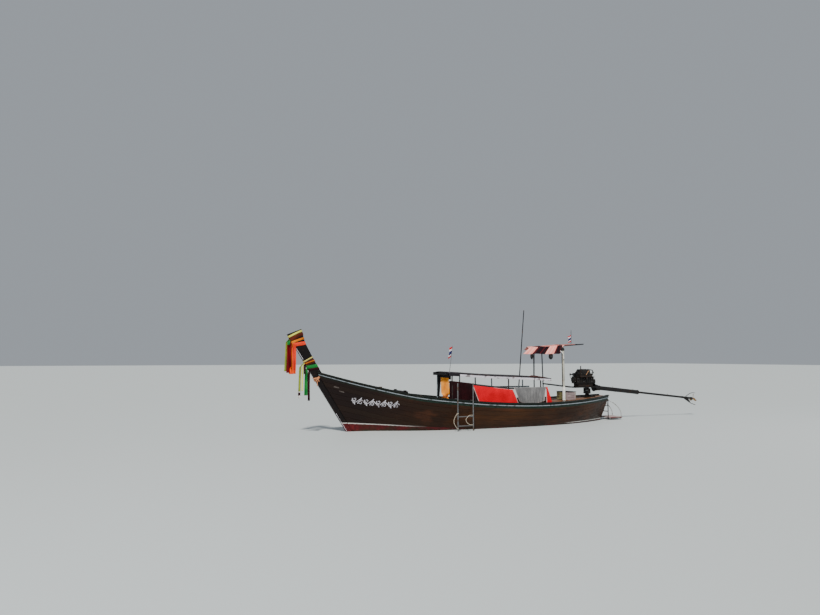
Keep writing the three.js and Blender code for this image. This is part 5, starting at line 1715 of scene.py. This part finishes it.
def engine_casting():
    shape = Shape()
    tapered_box(shape, *SUMP, -0.010, 2)
    tapered_box(shape, *CRANKCASE, 0.012, 0)
    for n in range(8):
        x = -3.950 + n * 0.078
        cheek_rib(shape, (x - 0.006, 1.180), (x + 0.006, 1.385))
    for z in (1.192, 1.384):
        cheek_rib(shape, (-3.990, z - 0.010), (-3.342, z + 0.010))
    shape.box(*CYLINDER_HEAD)
    for z in FIN_HEIGHTS:
        shape.box((-3.956, -0.1148, z - 0.004), (-3.404, 0.1148, z + 0.004))
    shape.loft([cover_ring(*row) for row in COVER_STATIONS], 1)
    for x in (-3.88, -3.68, -3.48):
        shape.turned((x, 0, 1.600), (0, 0, 1), ((0, 0.020), (0.030, 0.020), (0.034, 0.012)), 12, 3)
    head_bolts = [(x, side * 0.095, COVER_FOOT) for x in HEAD_BOLTS for side in (1, -1)]
    bolts(shape, head_bolts, (0, 0, 1), 0.010, 0.014, 3)
    for side in (1, -1):
        cheek_bolts = [(x, side * 0.140, z) for x in (-3.91, -3.60, -3.37) for z in (1.24, 1.33)]
        bolts(shape, cheek_bolts, (0, side, 0), 0.009, 0.009, 3)
    shape.turned((-3.990, 0, 1.235), (-1, 0, 0), HOUSING, 32)
    return shape.piece("engine_casting", [IRON_BLACK, ENGINE_RED, IRON_SOOT, BARE_STEEL], "engine_metal",
                       "motor", smooth=35, bevel=0.0022, replaces="engine_block")


casting = engine_casting()
print("casting:", len(casting.data.polygons), "faces")

# %% [markdown]
# # Pulley, alternator and belt
# At the engine's fore end a grooved pulley drives an alternator with a belt. The wheels are turned
# profiles. The belt is a closed tube on two runs and two arcs, as a flat ring would cut the pulleys.

# %% Belt drive
CRANK_END, ALTERNATOR_PLACE, BELT_X = (-3.336, 0, 1.290), (-3.400, -0.165, 1.455), -3.306
CRANK_PULLEY = ((0, 0.05), (0.012, 0.05), (0.013, 0.112), (0.022, 0.114), (0.030, 0.098), (0.038, 0.114),
                (0.046, 0.112), (0.047, 0.045), (0.060, 0.040), (0.0605, 0.02))
ALTERNATOR = ((-0.090, 0.02), (-0.085, 0.050), (-0.020, 0.052), (-0.012, 0.046), (0.0, 0.020), (0.082, 0.018),
              (0.084, 0.036), (0.094, 0.028), (0.104, 0.036), (0.108, 0.015))
BELT_RADII = (0.104, 0.034)


def pulley_and_belt():
    shape = Shape()
    shape.turned(CRANK_END, (1, 0, 0), CRANK_PULLEY, 32)
    shape.turned(ALTERNATOR_PLACE, (1, 0, 0), ALTERNATOR, 22, 1)
    centre, far = Vector((BELT_X, *CRANK_END[1:])), Vector((BELT_X, *ALTERNATOR_PLACE[1:]))
    along = (far - centre).normalized()
    across = Vector((0, along.z, -along.y))
    near_turns = [-math.pi / 2 + math.pi * n / 12 for n in range(13)]
    far_turns = [math.pi / 2 - math.pi * n / 8 for n in range(9)]
    path = [centre + (-along * math.cos(a) + across * math.sin(a)) * BELT_RADII[0] for a in near_turns]
    path += [far + (along * math.cos(a) + across * math.sin(a)) * BELT_RADII[1] for a in far_turns]
    shape.tube(path, 0.0065, 6, 2, closed=True)
    return shape.piece("pulley_alternator_and_belt", [IRON_BLACK, BARE_STEEL, RUBBER], "engine_metal",
                       "motor", smooth=35)


belt_drive = pulley_and_belt()
print("belt drive:", len(belt_drive.data.polygons), "faces")

# %% [markdown]
# # Fuel pump, pipes and hoses
# Thin pipes rise from the pump to the cylinders, and hoses in three colours run round the engine's
# ends. Curve objects would do as well, but tubes in one mesh keep them a single piece.

# %% Pump and hoses
BRASS = metal_finish("dull_brass_fitting", (0.22, 0.12, 0.035), (0.11, 0.06, 0.020),
                     (0.05, 0.035, 0.02), 0.4, 0.8, 30)
PALE_HOSE = metal_finish("pale_water_hose", (0.55, 0.57, 0.60), (0.36, 0.38, 0.40),
                         (0.18, 0.15, 0.12), 0.6, 0.0, 24)
TAN_HOSE = metal_finish("tan_fuel_hose", (0.46, 0.26, 0.13), (0.28, 0.15, 0.08),
                        (0.10, 0.06, 0.04), 0.6, 0.0, 24)
PUMP_Y = -0.176
WATER_HOSE = ((-3.985, 0.06, 1.430), (-4.020, 0.075, 1.500), (-3.995, 0.070, 1.590),
              (-3.920, 0.045, 1.604), (-3.850, 0.030, 1.606))
PALE_LOOP = ((-3.985, 0.115, 1.300), (-4.030, 0.135, 1.330), (-4.035, 0.130, 1.410), (-3.985, 0.105, 1.436))
FORE_HOSE = ((-3.42, 0.10, 1.470), (-3.385, 0.12, 1.520), (-3.395, 0.085, 1.575), (-3.455, 0.04, 1.590))
FUEL_HOSE = ((-3.70, 0.128, 1.440), (-3.73, 0.150, 1.500), (-3.78, 0.128, 1.552), (-3.84, 0.090, 1.566))
TAP = ((0, 0.012), (0.040, 0.012), (0.044, 0.022), (0.060, 0.022), (0.062, 0.012))
RED_FILTER = ((0, 0.030), (0.006, 0.036), (0.062, 0.036), (0.070, 0.024))


def injector_pipe(shape, x):
    union = ((0, 0.013), (0.020, 0.013), (0.024, 0.008))
    path = ((x, PUMP_Y, 1.318), (x, -0.182, 1.365), (x + 0.010, -0.160, 1.425),
            (x + 0.016, -0.124, 1.460), (x + 0.016, -0.105, 1.484), (x + 0.016, -0.074, 1.520))
    shape.turned((x, PUMP_Y, 1.298), (0, 0, 1), union, 8, 1)
    shape.tube(path, 0.0042, 6, 1)


def pump_and_pipes():
    shape = Shape()
    shape.box((-3.80, -0.196, 1.215), (-3.56, -0.150, 1.300))
    for x in (-3.775, -3.715, -3.655, -3.595):
        injector_pipe(shape, x)
    shape.tube(WATER_HOSE, 0.017, 10, 2)
    shape.tube(PALE_LOOP, 0.015, 10, 3)
    shape.turned((-4.005, 0.030, 1.520), (-1, 0.2, 0), TAP, 12, 0)
    shape.tube(FORE_HOSE, 0.014, 10, 2)
    shape.tube(FUEL_HOSE, 0.010, 8, 4)
    shape.turned((-3.665, 0.205, 1.300), (0, 0, 1), RED_FILTER, 16, 5)
    shape.box((-3.690, 0.149, 1.310), (-3.640, 0.180, 1.350))
    finishes = [IRON_BLACK, BRASS, RUBBER, PALE_HOSE, TAN_HOSE, ENGINE_RED]
    return shape.piece("fuel_pump_pipes_and_hoses", finishes, "engine_metal", "motor", smooth=40)


pump = pump_and_pipes()
print("pump and hoses:", len(pump.data.polygons), "faces")

# %% [markdown]
# # Exhaust and air filter
# Three short ports join a log manifold on the port side, and a thin stepped pipe stands up from it. To
# starboard lies a ribbed filter. Joints and pleats are steps in turned profiles, lighter than rings.

# %% Exhaust and filter
STACK_X, MANIFOLD_Y = -3.455, 0.180
MANIFOLD = ((-3.878, 1.390, 0.024), (-3.80, 1.392, 0.029), (-3.50, 1.394, 0.031), (-3.425, 1.390, 0.024))
STACK = ((0, 0.026), (0.060, 0.026), (0.066, 0.033), (0.078, 0.033), (0.084, 0.021), (0.150, 0.0195),
         (0.160, 0.0255), (0.215, 0.0255), (0.228, 0.0165), (0.322, 0.0155), (0.334, 0.0180))
FLANGE_BOLTS = ((0.027, 0), (-0.027, 0), (0, 0.027), (0, -0.027))
FILTER_PLACE, INTAKE_X, INTAKE_Z = (-3.800, -0.215, 1.480), -3.680, 1.430


def exhaust_pipe():
    shape = Shape()
    shape.tube([(x, MANIFOLD_Y, z) for x, z, _ in MANIFOLD], [radius for _, _, radius in MANIFOLD], 14)
    for x in (-3.840, -3.680, -3.520):
        shape.tube([(x, 0.117, 1.420), (x, 0.140, 1.420), (x, 0.178, 1.396)], 0.017, 12)
        shape.box((x - 0.030, 0.1155, 1.402), (x + 0.030, 0.124, 1.440))
    shape.turned((STACK_X, MANIFOLD_Y, 1.400), (0, 0, 1), STACK, 18)
    places = [(STACK_X + dx, MANIFOLD_Y + dy, 1.478) for dx, dy in FLANGE_BOLTS]
    bolts(shape, places, (0, 0, 1), 0.0055, 0.006)
    return shape.piece("exhaust_manifold_and_pipe", IRON_SOOT, "engine_metal", "motor", smooth=38,
                       replaces="exhaust")


def air_filter():
    shape = Shape()
    profile = [(0, 0.040), (0.004, 0.056), (0.012, 0.061)]
    for n in range(7):
        d = 0.022 + n * 0.028
        profile += [(d, 0.061), (d + 0.007, 0.056), (d + 0.014, 0.056), (d + 0.021, 0.061)]
    profile += [(0.226, 0.061), (0.236, 0.055), (0.240, 0.030), (0.2401, 0.010)]
    shape.turned(FILTER_PLACE, (1, 0, 0), profile, 24)
    neck = [(INTAKE_X, -0.118, INTAKE_Z), (INTAKE_X, -0.150, INTAKE_Z), (INTAKE_X, -0.200, 1.452)]
    shape.tube(neck, [0.020, 0.021, 0.024], 14, 1)
    shape.turned((INTAKE_X, -0.128, INTAKE_Z), (0, -1, 0), ((0, 0.023), (0.010, 0.023)), 14, 2)
    return shape.piece("ribbed_air_filter", [IRON_BLACK, RUBBER, BARE_STEEL], "engine_metal", "motor",
                       smooth=30, replaces="air_cleaner")


exhaust, cleaner = exhaust_pipe(), air_filter()
dress("engine_cradle", IRON_BLACK, 0.003)
print("exhaust and filter:", len(exhaust.data.polygons), "and", len(cleaner.data.polygons), "faces")

# %% [markdown]
# # Post and swivel
# The engine's cradle tilts in a yoke that turns on a stout post. Both keep the CAD's form, and what it
# leaves out is added: gussets and bolts at the post's foot, and a web and pin caps in the yoke.

# %% Post foot and yoke
SWIVEL_X = -3.820
DECK_BOLTS = ((-0.19, -0.05, 0.13), (-0.10, 0.10))
GUSSET_START, GUSSET_REACH, GUSSET_TALL, GUSSET_HALF = 0.050, 0.062, 0.085, 0.005
PIN_CAP = ((0, 0.034), (0.010, 0.034), (0.012, 0.022), (0.020, 0.022), (0.022, 0.014))


def post_foot():
    shape = Shape()
    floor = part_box("engine_post")[0][2] + 0.030
    places = [(SWIVEL_X + dx, dy, floor) for dx in DECK_BOLTS[0] for dy in DECK_BOLTS[1]]
    bolts(shape, places, (0, 0, 1), 0.014, 0.012)
    corners = [(GUSSET_START, 0), (GUSSET_START + GUSSET_REACH, 0), (GUSSET_START, GUSSET_TALL)]
    for quarter in range(4):
        c, s = math.cos(quarter * math.pi / 2), math.sin(quarter * math.pi / 2)
        shape.loft([[(SWIVEL_X + c * r - s * w, s * r + c * w, floor + h) for r, h in corners]
                    for w in (-GUSSET_HALF, GUSSET_HALF)])
    shape.piece("post_gussets_and_bolts", IRON_BLACK, "engine_metal", smooth=30)


def yoke_web():
    shape = Shape()
    shape.box((SWIVEL_X - 0.040, -0.109, 0.8685), (SWIVEL_X + 0.040, 0.109, 0.944))
    for side in (1, -1):
        shape.turned((SWIVEL_X, side * 0.124, 0.980), (0, side, 0), PIN_CAP, 20)
    shape.piece("yoke_web_and_pin_caps", IRON_BLACK, "engine_metal", "swivel", smooth=35, bevel=0.002)


dress("engine_post", IRON_BLACK, 0.003)
dress("swivel_yoke", IRON_BLACK, 0.003)
post_foot()
yoke_web()
print("post and swivel dressed")

# %% [markdown]
# # Tiller
# The tiller is a steel bar with a ribbed rubber grip, a thicker sleeve and a clipped throttle cable.
# The ribs show in outline, where a bump texture wouldn't, so they are steps in one turned profile.

# %% Tiller grip and cable
TILLER_TIP, TILLER_ROOT = Vector((-2.130, 0, 1.190)), Vector((-3.2373, 0, 1.057))
SLEEVE_STEPS = ((0, 0.0215), (0.004, 0.0225), (0.900, 0.0250), (0.905, 0.022))
CLIPS = (0.24, 0.62, 0.98)


def tiller_dress():
    shape = Shape()
    along = (TILLER_ROOT - TILLER_TIP).normalized()
    grip = [(0, 0.012), (0.003, 0.019)]
    for n in range(9):
        grip += [(0.012 + 0.014 * n, 0.0205), (0.019 + 0.014 * n, 0.0190)]
    shape.turned(TILLER_TIP, along, grip + [(0.150, 0.0200), (0.152, 0.0175)], 16)
    cable = [TILLER_TIP + along * d + Vector((0, 0.031 + 0.004 * math.sin(9 * d), 0.006 * math.cos(7 * d)))
             for d in [0.16 + 0.095 * k for k in range(11)]]
    shape.tube(cable, 0.0038, 6, 1)
    shape.turned(TILLER_TIP + along * 0.156, along, SLEEVE_STEPS, 16, 2)
    for d in CLIPS:
        shape.turned(TILLER_TIP + along * d, along, ((0, 0.0268), (0.012, 0.0268)), 14, 1)
    shape.piece("tiller_grip_and_cable", [RUBBER, BARE_STEEL, DARK_STEEL], "engine_metal", "motor", smooth=40)


dress("tiller", DARK_STEEL)
tiller_dress()
print("tiller dressed")

# %% [markdown]
# # Tail and propeller
# The tail is a thick housing with a thin tube in it, with collars at its joints, grease cups and the
# propeller's nut. All are rings on the shaft's axis, and each rides with the body that it moves with.

# %% Tail collars and propeller nut
SHAFT_Z, SHAFT_SLOPE = 1.065, 0.108
SHAFT_AXIS = Vector((1, 0, SHAFT_SLOPE)).normalized()
# Place along the boat, radius and length of each collar
COLLARS = ((-4.088, 0.128, 0.018), (-4.300, 0.083, 0.020), (-4.95, 0.0725, 0.018), (-5.860, 0.0735, 0.040),
           (-5.900, 0.052, 0.030), (-6.90, 0.0375, 0.016), (-7.845, 0.0400, 0.030), (-8.225, 0.0405, 0.075))
# Place along the boat and distance from the axis of each grease cup's foot
GREASE_CUPS = ((-4.86, 0.070), (-5.70, 0.070), (-7.20, 0.036))
CUP = ((0, 0.010), (0.016, 0.010), (0.018, 0.006), (0.026, 0.007), (0.028, 0.003))
NUT = ((0, 0.017), (0.006, 0.017), (0.007, 0.020), (0.024, 0.020), (0.034, 0.012), (0.038, 0.004))


def on_shaft(x):
    return Vector((x, 0, SHAFT_Z + SHAFT_SLOPE * (x - SWIVEL_X)))


def tail_rings():
    shape = Shape()
    ease = 0.004
    for x, radius, length in COLLARS:
        outline = ((0, radius - ease), (ease, radius), (length - ease, radius), (length, radius - ease))
        shape.turned(on_shaft(x), -SHAFT_AXIS, outline, 28)
    for x, reach in GREASE_CUPS:
        shape.turned(on_shaft(x) + Vector((0, 0, reach - ease)), (0, 0, 1), CUP, 8, 1)
    shape.piece("tail_collars_and_grease_cups", [TAIL_IRON, BRASS], "tail_metal", "motor", smooth=35)


def propeller_nut():
    shape = Shape()
    shape.turned(on_shaft(-8.404), -SHAFT_AXIS, NUT, 12)
    shape.piece("propeller_nut", BRONZE, "propeller_bronze", "propeller", smooth=35)


dress("tail_housing", TAIL_IRON, 0.0015)
dress("propeller", BRONZE, 0.0008)
tail_rings()
propeller_nut()
print("tail dressed:", len(COLLARS), "collars")

# %% [markdown]
# # Ladder and its ropes
# A light grey ladder hangs over the port side, with two bights of pale rope tied to it. The bights
# are short and stiff, so they are tubes on a shallow arc instead of hanging curves.

# %% Ladder
DULL_STEEL = metal_finish("weathered_ladder_tube", (0.17, 0.175, 0.18), (0.10, 0.105, 0.11),
                          (0.11, 0.08, 0.06), 0.55, 0.45, 12)
BIGHT_Y, BIGHT_BOW, BIGHT_ROPE = 1.150, 0.105, 0.0085


def arc_path(x, low, high):
    shares = [n / 14 for n in range(15)]
    return [(x + BIGHT_BOW * math.sin(math.pi * t), BIGHT_Y, low + (high - low) * t) for t in shares]


def rope_bights():
    shape = Shape()
    shape.tube(arc_path(1.415, 0.07, 0.48), BIGHT_ROPE, 8)
    shape.tube(arc_path(1.050, 0.17, 0.42), BIGHT_ROPE, 8)
    for z in (0.07, 0.48):
        knot = loop((1.395, 1.137, z), (1, 0, 0), (0, 1, 0), 0.0225, 0.0225, 18)
        shape.tube(knot, 0.0075, 7, closed=True)
    shape.tube([(1.050, 1.150, 0.42), (0.985, 1.148, 0.425), (0.945, 1.150, 0.420)], BIGHT_ROPE, 8)
    shape.tube([(1.050, 1.150, 0.17), (0.985, 1.148, 0.165), (0.945, 1.150, 0.160)], BIGHT_ROPE, 8)
    shape.piece("ladder_rope_bights", PALE_ROPE, "ribbon_cloth", smooth=60)


dress("boarding_ladder", DULL_STEEL)
rope_bights()
print("ladder dressed")

# %% [markdown]
# # Stern platform
# A small board lies over bent tubes at the stern. It is built plank by plank, with its battens and
# edge, since the gaps between the planks are what shows from above.

# %% Platform
PINK_BOARD = timber_finish("pinkish_grey_board", (0.42, 0.32, 0.31), (0.24, 0.17, 0.17), 0.65, 0.35)
RED_EDGE = paint_finish("dark_red_board_edge", (0.10, 0.012, 0.016), (0.16, 0.12, 0.11), 0.6, 0.14, 12)
PLATFORM_PLANKS = 4


def platform_finish():
    """Dark tubes at the hull and pale ones beyond it, both chipped."""
    f = Finish("stern_platform_tube", 0.4, 0.5)
    x = f.axis("X")
    chips = f.noise(14, (1, 1, 1), 6)
    dark = f.mix(f.step(chips, 0.5, 0.66), (0.020, 0.020, 0.023), (0.08, 0.045, 0.03))
    pale = f.mix(f.step(chips, 0.5, 0.66), (0.60, 0.62, 0.62), (0.34, 0.33, 0.31))
    f.colour(f.mix(f.step(x, -4.500, -4.515), dark, pale))
    f.rough(f.step(chips, 0.3, 0.7, 0.3, 0.5))
    return f.bump(chips, 0.25, 0.001)


def platform_boards():
    shape = Shape()
    (x0, y0, z0), (x1, y1, z1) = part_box("platform_board")
    wide = (y1 - y0) / PLATFORM_PLANKS
    for n in range(PLATFORM_PLANKS):
        low = y0 + n * wide + 0.0015
        shape.box((x0, low, z0 + 0.0005), (x1, low + wide - 0.003, z1))
    for x in (x0 + 0.045, x1 - 0.085):
        shape.box((x, y0 + 0.004, z0 - 0.014), (x + 0.040, y1 - 0.004, z0 + 0.0002), 1)
    shape.box((x0 + 0.006, y1 + 0.0005, z0 - 0.004), (x1 - 0.006, y1 + 0.010, z1 - 0.006), 1)
    shape.piece("platform_boards", [PINK_BOARD, RED_EDGE], "deck_boards", smooth=20, bevel=0.003,
                replaces="platform_board")


dress("platform_frame", platform_finish())
platform_boards()
print("platform dressed")

# %% [markdown]
# # Crate
# The crate behind the awning's leg is slats with a dark lid. A picture of slats would lack the light
# between them, so slats, posts and lid boards lie round a darker inner box.

# %% Slatted crate
CRATE_FRONT = timber_finish("pinkish_crate_slats", (0.40, 0.32, 0.32), (0.17, 0.12, 0.13), 0.7, 0.4)
CRATE_SIDE = paint_finish("yellow_green_crate_side", (0.26, 0.24, 0.10), (0.12, 0.09, 0.06), 0.7, 0.16, 9)
CRATE_LID = paint_finish("dark_crate_lid", (0.022, 0.017, 0.016), (0.10, 0.07, 0.05), 0.6, 0.14, 9)
CRATE_ROWS, SLAT_GAP, LID_BOARDS, LID_OVER = 3, 0.006, 4, 0.010


def slatted_crate():
    shape = Shape()
    (x0, y0, z0), (x1, y1, z1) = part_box("crate")
    x0, x1, y0, y1 = x0 + 0.012, x1 - 0.012, y0 + 0.012, y1 - 0.012
    shape.box((x0 + 0.014, y0 + 0.014, z0), (x1 - 0.014, y1 - 0.014, z1 - 0.020), 3)
    tall = (z1 - 0.018 - z0) / CRATE_ROWS
    for n in range(CRATE_ROWS):
        low, high = z0 + n * tall + SLAT_GAP / 2, z0 + (n + 1) * tall - SLAT_GAP / 2
        shape.box((x0 + 0.012, y1 - 0.013, low), (x1 - 0.012, y1, high), 0)
        shape.box((x0 + 0.012, y0, low), (x1 - 0.012, y0 + 0.013, high), 0)
        shape.box((x1 - 0.0125, y0, low), (x1 - 0.0005, y1, high), 1)
        shape.box((x0 + 0.0005, y0, low), (x0 + 0.0125, y1, high), 1)
    for x in (x0 + 0.028, x1 - 0.070):
        for inner, outer in ((y1, y1 + 0.010), (y0 - 0.010, y0)):
            shape.box((x, inner, z0 + 0.002), (x + 0.042, outer, z1 - 0.020), 0)
    wide = (x1 - x0 + 2 * LID_OVER) / LID_BOARDS
    for n in range(LID_BOARDS):
        x = x0 - LID_OVER + n * wide
        shape.box((x + 0.001, y0 - 0.011, z1 - 0.016), (x + wide - 0.001, y1 + 0.011, z1 - 0.001), 2)
    return shape.piece("slatted_crate", [CRATE_FRONT, CRATE_SIDE, CRATE_LID, FRAME_WOOD], "crate_board",
                       smooth=20, bevel=0.002, replaces="crate")


crate = slatted_crate()
print("crate:", len(crate.data.polygons), "faces")

# %% [markdown]
# # Sizes and the end
# The end
# comparison. The last line checks the frame and writes the table of pieces.

# %% Finish
bpy.context.view_layer.update()
